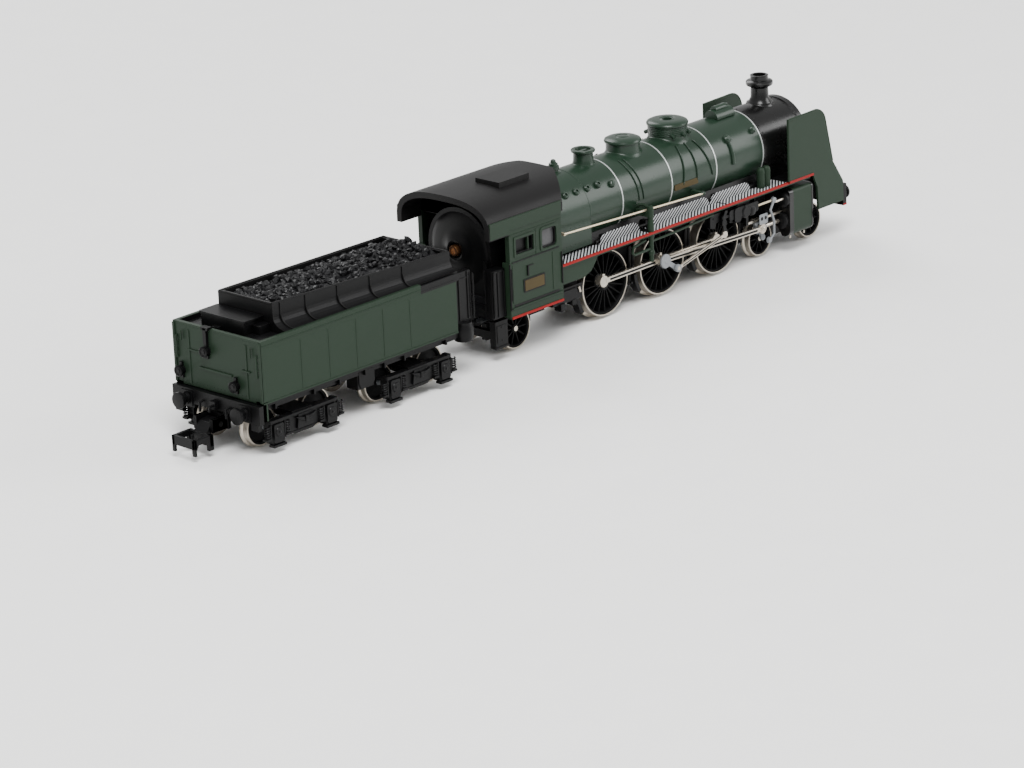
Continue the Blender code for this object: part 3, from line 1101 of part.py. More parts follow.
def tender_frame(parent):
    half = TENDER_FRAME_HALF_WIDTH
    floor = box((TENDER_REAR + 0.8, TENDER_FRONT - 0.8), (-half, half), (TENDER_FLOOR[0], TENDER_FLOOR[1]))
    parts = []
    for side in (-1, 1):
        span = mirrored(BATTERY_BOX_Y, side)
        parts.append(box([TENDER_FRONT + x for x in BATTERY_BOX], span,
                         (BATTERY_BOX_BOTTOM, TENDER_FLOOR[1] - 0.3)))
        panel = mirrored(PANEL_Y, side)
        parts.append(box((TENDER_FRONT + 0.3, TENDER_FRONT + PANEL_FRONT), panel, PANEL_Z))
        step_y = side * sum(PANEL_Y) / 2
        step_x = TENDER_FRONT + PANEL_FRONT - STEP_RADIUS
        parts.append(box((TENDER_FRONT + FIT_GAP, TENDER_FRONT + PANEL_FRONT - 0.5), panel,
                         (TENDER_FLOOR[0], PANEL_Z[0] + 0.5)))
        parts.append(round_bar("Y", (step_x, 7.1), STEP_RADIUS, (step_y - 0.8, step_y + 0.8), 16))
    front = box((TENDER_FRONT + FIT_GAP, TENDER_FRONT + 0.8), (-PANEL_Y[1], PANEL_Y[1]),
                (TENDER_FLOOR[0], 15.8))
    parts.append(front)
    parts.append(box((TENDER_FRONT - 1.6, TENDER_FRONT + 0.5), (-half, half),
                     (TENDER_FLOOR[0], TENDER_FLOOR[1] - 0.1)))
    beam_face = TENDER_REAR - 0.9
    beam = box((beam_face, TENDER_REAR - FIT_GAP), (-TENDER_HALF_WIDTH, TENDER_HALF_WIDTH), TENDER_BEAM_Z)
    parts.append(beam)
    parts.append(box((beam_face + 0.2, TENDER_REAR + 1.5), (-6.8, 6.8),
                     (TENDER_FLOOR[0], TENDER_FLOOR[1] - 0.1)))
    parts += buffers(TENDER_REAR - TENDER_BUFFER_LENGTH, 1, TENDER_BUFFER_Y, BUFFER_Z, beam_face)
    for x in bogie_centres():
        parts.append(round_bar("Z", (x, 0), PIVOT_PIN_RADIUS, (3.9, TENDER_FLOOR[0] + 0.5), 16))
    pin = round_bar("Z", (TENDER_PIN_X, 0), DRAWBAR_PIN_RADIUS, (DRAWBAR_Z[0] - 0.3, TENDER_FLOOR[0] + 0.5))
    parts.append(pin)
    notch = box((beam_face - 1, TENDER_REAR + 1), (-4.4, 4.4), (TENDER_BEAM_Z[0] - 1, POCKET_Z[1] + 0.35))
    shape = without(joined(floor, *parts), notch)
    return piece("tender_frame", BLACK, shape, (TENDER_PIN_X, 0, DRAWBAR_Z[0]), parent)


def tender_bogie(name, x, numbers, parent, tongue):
    """An outside-framed bogie. The rear one carries the coupler's pocket on a tongue."""
    half = BOGIE_WHEELBASE / 2
    parts = []
    for side in (-1, 1):
        span = mirrored(BOGIE_SIDE_Y, side)
        parts.append(box((x - BOGIE_HALF_LENGTH, x + BOGIE_HALF_LENGTH), span, BOGIE_SIDE_Z))
        for axle in (x - half, x + half):
            inner = BOGIE_SIDE_Y[0] - 0.25
            along = (axle - AXLEBOX_HALF_WIDTH, axle + AXLEBOX_HALF_WIDTH)
            parts.append(box(along, mirrored((inner, BOGIE_SIDE_Y[1]), side), (AXLEBOX_BOTTOM, 4.3)))
    bolster = box((x - 1.9, x + 1.9), (-BOGIE_SIDE_Y[1] + 0.2, BOGIE_SIDE_Y[1] - 0.2), (3.9, 4.9))
    hub = round_bar("Z", (x, 0), 1.7, (4.0, TENDER_FLOOR[0] - FIT_GAP), 20)
    cuts = [round_bar("Z", (x, 0), PIVOT_PIN_RADIUS + BORE_GAP, (2, 8), 16)]
    socket = BOGIE_SIDE_Y[0] + 0.3
    for axle in (x - half, x + half):
        cuts.append(round_bar("Y", (axle, TENDER_AXLE_Z), AXLE_END_RADIUS + BORE_GAP, (-socket, socket)))
    if tongue:
        pocket = [TENDER_REAR + value for value in POCKET]
        parts.append(box((pocket[1] - 0.5, x), (-1.4, 1.4), (4.0, 4.9)))
        parts.append(box(pocket, (-POCKET_HALF_WIDTH, POCKET_HALF_WIDTH), POCKET_Z))
        inner = HOOK_HALF_WIDTH + FIT_GAP
        cuts.append(box((pocket[0] - 1, pocket[1] - 0.6), (-inner, inner),
                        (POCKET_Z[0] - 1, POCKET_Z[1] + 1)))
        pivot = (TENDER_REAR + HOOK_PIVOT_X, HOOK_PIVOT_Z)
        cuts.append(round_bar("Y", pivot, HOOK_PIN_RADIUS + BORE_GAP, (-3, 3)))
    shape = without(joined(bolster, hub, *parts), *cuts)
    bogie = piece(name, BLACK, shape, (x, 0, TENDER_AXLE_Z), parent)
    for number, axle in zip(numbers, (x + half, x - half)):
        wheelset = f"tender_wheelset_{number}"
        small_wheelset(wheelset, axle, TENDER_WHEEL_RADIUS, TENDER_AXLE_Z, socket - 0.1, bogie)
    return bogie


def coupler_hook(parent):
    """The hook at the tender's rear: a shank on a cross pin, and a box-shaped head that hangs below it."""
    pivot = (TENDER_REAR + HOOK_PIVOT_X, HOOK_PIVOT_Z)
    head = [TENDER_REAR + value for value in HEAD]
    half = HOOK_HALF_WIDTH
    outline = [(pivot[0] + 0.6, HOOK_PIVOT_Z + 0.55), (pivot[0] - 1.2, HOOK_PIVOT_Z + 0.4),
               (head[1] - 0.4, HEAD_Z[1] - 0.1)]
    outline += [(head[1] - 0.4, HEAD_Z[0] + 0.5), (pivot[0] - 1.0, HOOK_PIVOT_Z - 0.7),
                (pivot[0] + 0.6, HOOK_PIVOT_Z - 0.55)]
    shank = prism("Y", outline, (-half, half))
    frame = box(head, (-HEAD_HALF_WIDTH, HEAD_HALF_WIDTH), HEAD_Z)
    pin = round_bar("Y", pivot, HOOK_PIN_RADIUS, (-POCKET_HALF_WIDTH, POCKET_HALF_WIDTH))
    inner = HEAD_HALF_WIDTH - HEAD_WALL
    opening = box((head[0] + HEAD_WALL, head[1] - HEAD_WALL - 0.2), (-inner, inner),
                  (HEAD_Z[0] - 1, HEAD_Z[1] + 1))
    shape = without(joined(frame, shank, pin), opening)
    piece("coupler_hook", BLACK, shape, (pivot[0], 0, pivot[1]), parent)


def main():
    clear_scene()
    frame = chassis_frame()
    keeper_plate(frame)
    motor(frame)
    middle, front_idler, rear_idler, front, rear, worm_wheel = gear_phases()
    pin_reach = COUPLING_LAYER[1] + 0.05
    driver("driver_rear", -DRIVER_SPACING, rear, pin_reach, frame)
    driver("driver_front", DRIVER_SPACING, front, pin_reach, frame)
    driven = driver("driver_middle", 0, middle, MAIN_LAYER[1] + 0.05, frame)
    shaft_gear("idler_gear_rear", GEAR_PLASTIC, IDLER_TEETH, (-DRIVER_SPACING / 2, IDLER_Z), rear_idler,
               frame)
    shaft_gear("idler_gear_front", GEAR_PLASTIC, IDLER_TEETH, (DRIVER_SPACING / 2, IDLER_Z), front_idler,
               frame)
    shaft_gear("worm_wheel", GEAR_PLASTIC, WORM_WHEEL_TEETH, (WORM_WHEEL_X, WORM_WHEEL_Z), worm_wheel,
               frame)
    boiler = boiler_shell()
    smokebox(boiler)
    domes(boiler)
    cab_shell(boiler)
    cab_roof(boiler)
    cab_floor(frame)
    reach_rod(boiler)
    for word, side in (("left", 1), ("right", -1)):
        running_board("running_board_" + word, side, boiler)
        deflector("deflector_" + word, side, boiler)
        cylinder("cylinder_" + word, side, frame)
        valve_gear("valve_gear_" + word, side, frame)
        rods(side, word, driven, frame)
    front_bogie(frame)
    trailing_truck(frame)
    buffer_beam(frame)
    bar = drawbar(frame)
    tender = tender_frame(bar)
    tender_body(tender)
    coal_bunker(tender)
    coal_load(tender)
    front_centre, rear_centre = bogie_centres()
    tender_bogie("tender_bogie_front", front_centre, (1, 2), tender, False)
    rear_bogie = tender_bogie("tender_bogie_rear", rear_centre, (3, 4), tender, True)
    coupler_hook(rear_bogie)


main()
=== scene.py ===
"""The looks of an N gauge 4-6-2 steam locomotive and its bogie tender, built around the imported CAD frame.

Shapes are in millimetres while they are built: x = 0 is the middle driven axle, X runs forwards, Y to the
left and Z up from the wheel flanges. Piece.make moves them to the frame's own origin and turns them into
metres.
"""

import math
import random

import bmesh
import bpy
from mathutils import Matrix, Vector


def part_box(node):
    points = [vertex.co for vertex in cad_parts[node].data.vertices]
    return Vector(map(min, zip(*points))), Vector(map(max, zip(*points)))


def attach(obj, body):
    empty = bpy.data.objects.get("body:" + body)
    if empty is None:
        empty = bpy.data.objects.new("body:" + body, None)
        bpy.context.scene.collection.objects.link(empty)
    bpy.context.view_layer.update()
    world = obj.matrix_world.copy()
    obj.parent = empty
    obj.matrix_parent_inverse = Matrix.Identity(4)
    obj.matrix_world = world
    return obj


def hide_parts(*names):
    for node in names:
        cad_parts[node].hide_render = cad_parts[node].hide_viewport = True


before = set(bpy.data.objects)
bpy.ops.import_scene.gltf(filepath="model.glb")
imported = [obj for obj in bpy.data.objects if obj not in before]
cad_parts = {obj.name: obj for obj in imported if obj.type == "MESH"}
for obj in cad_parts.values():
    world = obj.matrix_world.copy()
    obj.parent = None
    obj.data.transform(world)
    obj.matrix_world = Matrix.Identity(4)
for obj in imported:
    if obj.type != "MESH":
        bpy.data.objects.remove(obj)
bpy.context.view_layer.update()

MM = 0.001
low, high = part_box("driver_middle")
AXLE_X = (low.x + high.x) / 2 / MM  # where the middle axle is along the frame, in millimetres
SIDES = ((1, "left"), (-1, "right"))
BOTH = (-1, 1)  # piece.side runs through these, and ends at 1

AXLE_Z = 5.55
DRIVER_RADIUS = 5.1
SPACING = 13.0
THROW = 1.7
MAIN_ROD_LENGTH = 23.5
ECCENTRIC_ROD_LENGTH = 11.3
ECCENTRIC_ROD_SLOPE = 13.0  # degrees
WHEEL_BACK = 3.75  # inner face of every wheel, from the centre line
CAB_FACE = 9.1
BOILER_Z = 17.0
BOILER_R = 5.75
BOARD_TOP = 11.9
CRANK = {-1: (-1.4996, 0.8007), 1: (0.8007, 1.4996)}
ECCENTRIC = {-1: (0.8515, -0.8024), 1: (-0.8024, -0.8515)}


# ---- Finishes ---------------------------------------------------------------


def finish_of(name, colour, roughness, metallic=0.0, grain=0.0, size=0.5, mottle=0.06, coat=0.0,
        shine=0.15):
    """A paint, plastic or metal with uneven gloss and a fine grain. size is the grain's width in mm."""
    made = bpy.data.materials.new(name)
    made.use_nodes = True
    nodes, links = made.node_tree.nodes, made.node_tree.links
    shader = nodes["Principled BSDF"]
    shader.inputs["Metallic"].default_value = metallic
    shader.inputs["Specular IOR Level"].default_value = shine
    shader.inputs["Coat Weight"].default_value = coat
    shader.inputs["Coat Roughness"].default_value = 0.25
    place = nodes.new("ShaderNodeTexCoord")
    cloud = nodes.new("ShaderNodeTexNoise")
    cloud.inputs["Scale"].default_value = 130.0
    cloud.inputs["Detail"].default_value = 4.0
    links.new(place.outputs["Object"], cloud.inputs["Vector"])
    tint = nodes.new("ShaderNodeMix")
    tint.data_type = "RGBA"
    tint.inputs["A"].default_value = (*[c * (1 - 2 * mottle) for c in colour], 1)
    tint.inputs["B"].default_value = (*[min(1, c * (1 + 2 * mottle)) for c in colour], 1)
    links.new(cloud.outputs["Fac"], tint.inputs["Factor"])
    links.new(tint.outputs["Result"], shader.inputs["Base Color"])
    gloss = nodes.new("ShaderNodeMapRange")
    gloss.inputs["To Min"].default_value = max(0.05, roughness - 0.08)
    gloss.inputs["To Max"].default_value = roughness + 0.08
    links.new(cloud.outputs["Fac"], gloss.inputs["Value"])
    links.new(gloss.outputs["Result"], shader.inputs["Roughness"])
    if grain:
        fine = nodes.new("ShaderNodeTexNoise")
        fine.inputs["Scale"].default_value = 1000.0 / size
        fine.inputs["Detail"].default_value = 3.0
        links.new(place.outputs["Object"], fine.inputs["Vector"])
        bump = nodes.new("ShaderNodeBump")
        bump.inputs["Strength"].default_value = grain
        bump.inputs["Distance"].default_value = 0.00003
        links.new(fine.outputs["Fac"], bump.inputs["Height"])
        links.new(bump.outputs["Normal"], shader.inputs["Normal"])
    return made


def tread_plate():
    """Bright diagonal ribs on black, as printed on the running boards."""
    made = finish_of("tread_plate", (0.4, 0.4, 0.4), 0.45, 0.1)
    nodes, links = made.node_tree.nodes, made.node_tree.links
    shader = nodes["Principled BSDF"]
    place = nodes.new("ShaderNodeTexCoord")
    ribs = nodes.new("ShaderNodeTexWave")
    ribs.bands_direction = "DIAGONAL"
    ribs.inputs["Scale"].default_value = 950.0
    turn = nodes.new("ShaderNodeMapping")
    turn.inputs["Rotation"].default_value = (0.0, 0.0, math.radians(96))
    turn.inputs["Scale"].default_value = (1.0, 1.0, 0.0)
    split = nodes.new("ShaderNodeSeparateXYZ")
    links.new(place.outputs["Object"], split.inputs["Vector"])
    unrolled = nodes.new("ShaderNodeMath")
    links.new(split.outputs["Y"], unrolled.inputs[0])
    links.new(split.outputs["Z"], unrolled.inputs[1])
    flat = nodes.new("ShaderNodeCombineXYZ")
    links.new(split.outputs["X"], flat.inputs["X"])
    links.new(unrolled.outputs["Value"], flat.inputs["Y"])
    links.new(flat.outputs["Vector"], turn.inputs["Vector"])
    links.new(turn.outputs["Vector"], ribs.inputs["Vector"])
    steps = nodes.new("ShaderNodeValToRGB")
    steps.color_ramp.elements[0].position = 0.52
    steps.color_ramp.elements[0].color = (0.006, 0.006, 0.007, 1)
    steps.color_ramp.elements[1].position = 0.66
    steps.color_ramp.elements[1].color = (0.46, 0.47, 0.48, 1)
    links.new(ribs.outputs["Color"], steps.inputs["Fac"])
    links.new(steps.outputs["Color"], shader.inputs["Base Color"])
    return made


GREEN = finish_of("loco_green", (0.0105, 0.0215, 0.0120), 0.45, grain=0.08, size=0.3, mottle=0.05)
GLOSS_GREEN = finish_of("gloss_green", (0.0095, 0.0225, 0.0130), 0.30, grain=0.12, size=0.6, mottle=0.08,
    coat=0.08, shine=0.22)
BLACK = finish_of("satin_black", (0.0030, 0.0030, 0.0032), 0.42, grain=0.1, size=0.2, mottle=0.15)
GLOSS_BLACK = finish_of("gloss_black", (0.0028, 0.0028, 0.0028), 0.28, grain=0.12, size=0.6, mottle=0.15,
    coat=0.12, shine=0.25)
ROOF = finish_of("roof_black", (0.0052, 0.0050, 0.0051), 0.5, grain=0.1, size=0.2, mottle=0.1)
PLASTIC = finish_of("black_plastic", (0.0024, 0.0024, 0.0026), 0.38, grain=0.1, size=0.25, mottle=0.15)
WHEEL_BLACK = finish_of("wheel_black", (0.0022, 0.0022, 0.0024), 0.55, grain=0.15, size=0.2, mottle=0.15,
    shine=0.08)
CAST = finish_of("cast_chassis", (0.012, 0.012, 0.013), 0.5, 0.3, grain=0.2, size=0.25, mottle=0.15)
TYRE = finish_of("nickel_tyre", (0.44, 0.40, 0.34), 0.32, 0.85, grain=0.1, size=0.15, mottle=0.08)
STEEL = finish_of("nickel_rods", (0.46, 0.42, 0.36), 0.28, 0.9, grain=0.1, size=0.1, mottle=0.08)
DULL = finish_of("zinc_grey", (0.20, 0.21, 0.22), 0.5, 0.45, grain=0.3, size=0.15, mottle=0.12)
CREAM = finish_of("brass_wire", (0.50, 0.43, 0.31), 0.32, 0.7, mottle=0.05)
SILVER = finish_of("band_silver", (0.40, 0.42, 0.41), 0.35, 0.5, mottle=0.1)
BRASS = finish_of("brass", (0.62, 0.40, 0.16), 0.35, 0.9, grain=0.1, size=0.2, mottle=0.1)
DULL_BRASS = finish_of("dull_brass", (0.050, 0.036, 0.014), 0.55, 0.2, grain=0.2, size=0.2, mottle=0.2)
RED = finish_of("lining_red", (0.20, 0.004, 0.004), 0.45, mottle=0.08)
BRONZE = finish_of("bearing_bronze", (0.10, 0.045, 0.018), 0.4, 0.9, mottle=0.12)
COPPER = finish_of("winding_copper", (0.55, 0.24, 0.10), 0.38, 0.9, mottle=0.1)
COAL = finish_of("coal", (0.0048, 0.0048, 0.0054), 0.42, grain=0.4, size=0.3, mottle=0.3)
TREAD = tread_plate()
GLASS = finish_of("window_glass", (0.045, 0.045, 0.047), 0.2, mottle=0.2, coat=0.1)
CARBON = finish_of("carbon", (0.02, 0.02, 0.02), 0.6, mottle=0.1)


# ---- Shapes: each is (points, faces) -----------------------------------------


def placed(axis, along, across):
    point = list(across)
    point.insert("XYZ".index(axis), along)
    return tuple(point)


def loft(axis, sections, capped=True):
    """Through outlines, each (distance along the axis, points in the other two axes)."""
    points = [placed(axis, along, p) for along, outline in sections for p in outline]
    count = len(sections[0][1])
    faces = []
    for ring in range(len(sections) - 1):
        for i in range(count):
            j = (i + 1) % count
            base = ring * count
            faces.append((base + i, base + j, base + count + j, base + count + i))
    if capped:
        faces.append(tuple(range(count)))
        faces.append(tuple(range(len(points) - count, len(points))))
    return points, faces


def prism(axis, outline, span):
    return loft(axis, [(min(span), outline), (max(span), outline)])


def block(x, y, z):
    (x0, x1), (y0, y1) = sorted(x), sorted(y)
    return prism("Z", [(x0, y0), (x1, y0), (x1, y1), (x0, y1)], z)


def turned(axis, centre, profile, facets=32):
    """A solid of revolution from (distance along the axis, radius) points. A closed loop makes a ring."""
    points, faces, rings = [], [], []
    for along, radius in profile:
        start = len(points)
        if radius == 0:
            points.append(placed(axis, along, centre))
            rings.append([start] * facets)
            continue
        for i in range(facets):
            angle = 2 * math.pi * i / facets
            across = (centre[0] + radius * math.cos(angle), centre[1] + radius * math.sin(angle))
            points.append(placed(axis, along, across))
        rings.append(list(range(start, start + facets)))
    pairs = list(zip(rings, rings[1:]))
    if profile[0][1] and profile[-1][1]:
        pairs.append((rings[-1], rings[0]))
    for ring, following in pairs:
        for i in range(facets):
            j = (i + 1) % facets
            corners = list(dict.fromkeys((ring[i], ring[j], following[j], following[i])))
            if len(corners) > 2:
                faces.append(tuple(corners))
    return points, faces


def bar(axis, centre, radius, span, facets=16):
    near, far = sorted(span)
    return turned(axis, centre, [(near, 0), (near, radius), (far, radius), (far, 0)], facets)


def tube(path, radius, facets=8):
    """A round wire or pipe along a path of points."""
    path = [Vector(p) for p in path]
    points, faces = [], []
    side = None
    for i, at in enumerate(path):
        ahead = path[min(i + 1, len(path) - 1)] - path[max(i - 1, 0)]
        ahead.normalize()
        if side is None:
            side = ahead.cross(Vector((0.31, 0.17, 1.0))).normalized()
        side = (side - ahead * side.dot(ahead)).normalized()
        other = ahead.cross(side)
        for k in range(facets):
            angle = 2 * math.pi * k / facets
            points.append(tuple(at + (side * math.cos(angle) + other * math.sin(angle)) * radius))
    for i in range(len(path) - 1):
        for k in range(facets):
            m = (k + 1) % facets
            faces.append((i * facets + k, i * facets + m, (i + 1) * facets + m, (i + 1) * facets + k))
    faces.append(tuple(range(facets)))
    faces.append(tuple(range(len(points) - facets, len(points))))
    return points, faces


def rod(start, end, radius, facets=8):
    return tube([start, end], radius, facets)


def ball(centre, radius, rows=5, facets=8, flat=1.0, axis="Z"):
    profile = []
    for i in range(rows + 1):
        angle = math.pi * i / rows - math.pi / 2
        profile.append((radius * flat * math.sin(angle), 0 if i in (0, rows) else radius * math.cos(angle)))
    place = "XYZ".index(axis)
    across = [value for i, value in enumerate(centre) if i != place]
    return turned(axis, across, [(centre[place] + a, r) for a, r in profile], facets)


def polar(radius, degrees):
    return radius * math.cos(math.radians(degrees)), radius * math.sin(math.radians(degrees))


def arc(centre, radius, start, end, steps):
    found = []
    for i in range(steps + 1):
        dx, dz = polar(radius, start + (end - start) * i / steps)
        found.append((centre[0] + dx, centre[1] + dz))
    return found


def rounded(x, z, radius, steps=4):
    """A rectangle with rounded corners, as an outline."""
    (x0, x1), (z0, z1) = sorted(x), sorted(z)
    outline = arc((x1 - radius, z1 - radius), radius, 0, 90, steps)
    outline += arc((x0 + radius, z1 - radius), radius, 90, 180, steps)
    outline += arc((x0 + radius, z0 + radius), radius, 180, 270, steps)
    return outline + arc((x1 - radius, z0 + radius), radius, 270, 360, steps)


def rim(axis, outer, inner, span):
    """A frame between two outlines with the same number of points."""
    near, far = min(span), max(span)
    sections = [(near, outer), (far, outer), (far, inner), (near, inner)]
    points, faces = loft(axis, sections, capped=False)
    count = len(outer)
    for i in range(count):
        j = (i + 1) % count
        faces.append((3 * count + i, 3 * count + j, j, i))
    return points, faces


def rod_outline(centres, boss, half_height, steps=12):
    (x0, z0), (x1, z1) = centres[0], centres[-1]
    lean = math.degrees(math.atan2(z1 - z0, x1 - x0))
    bite = math.degrees(math.asin(min(1, half_height / boss)))
    points = arc(centres[0], boss, lean + bite, lean + 360 - bite, steps)
    for centre in centres[1:-1]:
        points += arc(centre, boss, lean + 180 + bite, lean + 360 - bite, steps // 2)
    points += arc(centres[-1], boss, lean - 180 + bite, lean + 180 - bite, steps)
    for centre in reversed(centres[1:-1]):
        points += arc(centre, boss, lean + bite, lean + 180 - bite, steps // 2)
    return points


def leaning(shape, about, degrees, axis="Y"):
    """The shape turned about a point."""
    points, faces = shape
    turn = Matrix.Rotation(math.radians(degrees), 3, axis)
    about = Vector(about)
    return [tuple(turn @ (Vector(p) - about) + about) for p in points], faces


def flipped(shape):
    """The shape on the other side of the centre line."""
    points, faces = shape
    return [(x, -y, z) for x, y, z in points], faces


def rivet(centre, radius, axis="Y"):
    return ball(centre, radius, flat=0.5, axis=axis, rows=3, facets=6)


def knob(axis, centre, profile, facets=32):
    """A solid of revolution whose two ends are closed flat."""
    return turned(axis, centre, [(profile[0][0], 0), *profile, (profile[-1][0], 0)], facets)


class Piece:
    """Gathers shapes of several finishes into one mesh that rides on one body.

    Shapes are written for the left side. With side at -1 they are added as their mirror image.
    """

    def __init__(self, side=1):
        self.side = side
        self.points, self.faces, self.looks, self.indices = [], [], [], []

    def add(self, look, *shapes):
        if look not in self.looks:
            self.looks.append(look)
        for shape in shapes:
            points, faces = shape if self.side > 0 else flipped(shape)
            base = len(self.points)
            self.points += points
            self.faces += [tuple(base + i for i in face) for face in faces]
            self.indices += [self.looks.index(look)] * len(faces)
        return self

    def make(self, name, body, nodes=(), bevel=0.0, sharp=35):
        mesh = bpy.data.meshes.new(name)
        mesh.from_pydata([((x + AXLE_X) * MM, y * MM, z * MM) for x, y, z in self.points], [], self.faces)
        for look in self.looks:
            mesh.materials.append(look)
        mesh.polygons.foreach_set("material_index", self.indices)
        bm = bmesh.new()
        bm.from_mesh(mesh)
        bmesh.ops.recalc_face_normals(bm, faces=bm.faces)
        bm.to_mesh(mesh)
        bm.free()
        mesh.shade_smooth()
        mesh.set_sharp_from_angle(angle=math.radians(sharp))
        obj = bpy.data.objects.new(name, mesh)
        bpy.context.scene.collection.objects.link(obj)
        if bevel:
            soft = obj.modifiers.new("soft_edges", "BEVEL")
            soft.width = bevel * MM
            soft.segments = 2
            soft.limit_method = "ANGLE"
            soft.angle_limit = math.radians(40)
            soft.harden_normals = True
        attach(obj, body)
        if nodes:
            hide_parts(*nodes)
        return obj


# ---- Wheels -------------------------------------------------------------------


def gear(teeth, centre, width):
    radius = 0.15 * teeth
    outline = []
    for tooth in range(teeth):
        for reach, share in ((radius - 0.33, -0.32), (radius + 0.25, -0.16), (radius + 0.25, 0.16),
                (radius - 0.33, 0.32)):
            dx, dz = polar(reach, 360 * (tooth + share) / teeth)
            outline.append((centre[0] + dx, centre[1] + dz))
    return prism("Y", outline, (-width / 2, width / 2))


def spoke(centre, angle, inner, outer, y, half_in, half_out):
    """A tapered spoke between two faces."""
    dx, dz = polar(1, angle)
    sections = []
    for reach, half in ((inner, half_in), (outer, half_out)):
        cx, cz = centre[0] + dx * reach, centre[1] + dz * reach
        corners = [(cx - dz * half, y[0], cz + dx * half), (cx - dz * half * 0.6, y[1],
            cz + dx * half * 0.6),
                   (cx + dz * half * 0.6, y[1], cz - dx * half * 0.6), (cx + dz * half, y[0],
                       cz - dx * half)]
        sections.append(corners)
    points = sections[0] + sections[1]
    faces = [(0, 1, 2, 3), (4, 5, 6, 7)] + [(i, (i + 1) % 4, 4 + (i + 1) % 4, 4 + i) for i in range(4)]
    return points, faces


def wheel(piece, centre, radius, flange, width, spokes, hub, tyre=0.32):
    """One wheel: a bright tyre with its flange, a black rim, spokes or a web, and a hub."""
    inner = WHEEL_BACK
    face = inner + width
    tread = [(inner, radius - tyre - 0.25), (inner, radius + flange - 0.06), (inner + 0.1, radius + flange),
             (inner + 0.3, radius + flange - 0.04), (inner + 0.5, radius), (face - 0.06, radius - 0.03),
             (face, radius - 0.08), (face, radius - tyre), (face - 0.12, radius - tyre - 0.02)]
    rim_ring = [(inner + 0.02, radius - tyre - 0.5), (inner + 0.02, radius - tyre),
        (face - 0.1, radius - tyre),
                (face - 0.1, radius - tyre - 0.28), (face - 0.3, radius - tyre - 0.42)]
    web = [turned("Y", centre, rim_ring, 64)]
    if spokes:
        for i in range(spokes):
            web.append(spoke(centre, 360 * i / spokes, hub * 0.8, radius - tyre - 0.3,
                (face - 1.1, face - 0.28), 0.2, 0.14))
        web.append(knob("Y", centre, [(inner + 0.05, radius - tyre), (face - 1.25, radius - tyre)], 48))
    else:
        web.append(knob("Y", centre, [(inner + 0.1, radius - tyre), (face - 0.45, radius - tyre),
                                        (face - 0.5, radius * 0.5), (face - 0.25, hub)], 48))
    web.append(knob("Y", centre, [(inner, hub * 1.1), (face - 0.25, hub), (face - 0.12, hub * 0.85)], 24))
    piece.add(TYRE, turned("Y", centre, tread, 64))
    piece.add(WHEEL_BLACK, *web)


def driver(word, x, reach):
    piece = Piece()
    centre = (x, AXLE_Z)
    piece.add(DULL, bar("Y", centre, 0.75, (-4, 4), 24))
    piece.add(PLASTIC, gear(24, centre, 2.0))
    for piece.side in BOTH:
        wheel(piece, centre, DRIVER_RADIUS, 0.45, 2.0, 20, 1.2, tyre=0.22)
        dx, dz = CRANK[piece.side]
        pin = (x + dx, AXLE_Z + dz)
        web = rod_outline([centre, pin], 0.95, 0.7)
        piece.add(PLASTIC, prism("Y", web, (5.2, 5.72)))
        piece.add(STEEL, bar("Y", pin, 0.72, (5.6, 6.2), 24), bar("Y", pin, 0.45, (5.6, reach - 0.08), 20),
            ball((x, 5.6, AXLE_Z), 0.55, flat=0.5, axis="Y", facets=16))
    piece.make("wheels_driver_" + word, "drivers_" + word, ["driver_" + word], 0.02)


for word, x, reach in (("rear", -SPACING, 6.95), ("middle", 0, 7.55), ("front", SPACING, 6.95)):
    driver(word, x, reach)


def small_wheels(name, body, node, x, radius, z, width, spokes, end):
    piece = Piece()
    for piece.side in BOTH:
        wheel(piece, (x, z), radius, 0.3, width, spokes, 0.75, tyre=0.22)
    piece.add(DULL, bar("Y", (x, z), 0.5, (-3.9, 3.9), 20))
    if end:
        piece.add(DULL, bar("Y", (x, z), 0.34, (-end, end), 16))
    else:
        piece.add(STEEL, bar("Y", (x, z), 0.4, (-5.14, 5.14), 16))
    piece.make(name, body, [node], 0.02)


small_wheels("wheels_bogie_rear", "front_bogie_axle_rear", "bogie_wheelset_rear", 24.0, 2.8, 3.1, 1.4, 10,
    None)
small_wheels("wheels_bogie_front", "front_bogie_axle_front", "bogie_wheelset_front", 36.2, 2.8, 3.1, 1.4,
    10, None)
small_wheels("wheels_trailing", "trailing_axle", "trailing_wheelset", -32.2, 3.1, 3.4, 1.4, 10, None)
BOGIE_CENTRES = {"front": -55.9, "rear": -78.9}
TENDER_AXLES = {1: -50.75, 2: -61.05, 3: -73.75, 4: -84.05}
for number, x in TENDER_AXLES.items():
    small_wheels(f"wheels_tender_{number}", f"tender_axle_{number}", f"tender_wheelset_{number}", x, 2.8,
        3.1, 1.4, 0, 7.3)


# ---- Rods and valve gear ------------------------------------------------------


def fluted(ends, boss, y, flute):
    """The black flute along a rod's outer face."""
    (x0, z0), (x1, z1) = ends
    length = math.hypot(x1 - x0, z1 - z0)
    ux, uz = (x1 - x0) / length, (z1 - z0) / length
    near, far = boss + 0.5, length - boss - 0.5
    groove = []
    for along, up in ((near, -flute), (far, -flute), (far, flute), (near, flute)):
        groove.append((x0 + ux * along - uz * up, z0 + uz * along + ux * up))
    return prism("Y", groove, (y - 0.02, y + 0.03))


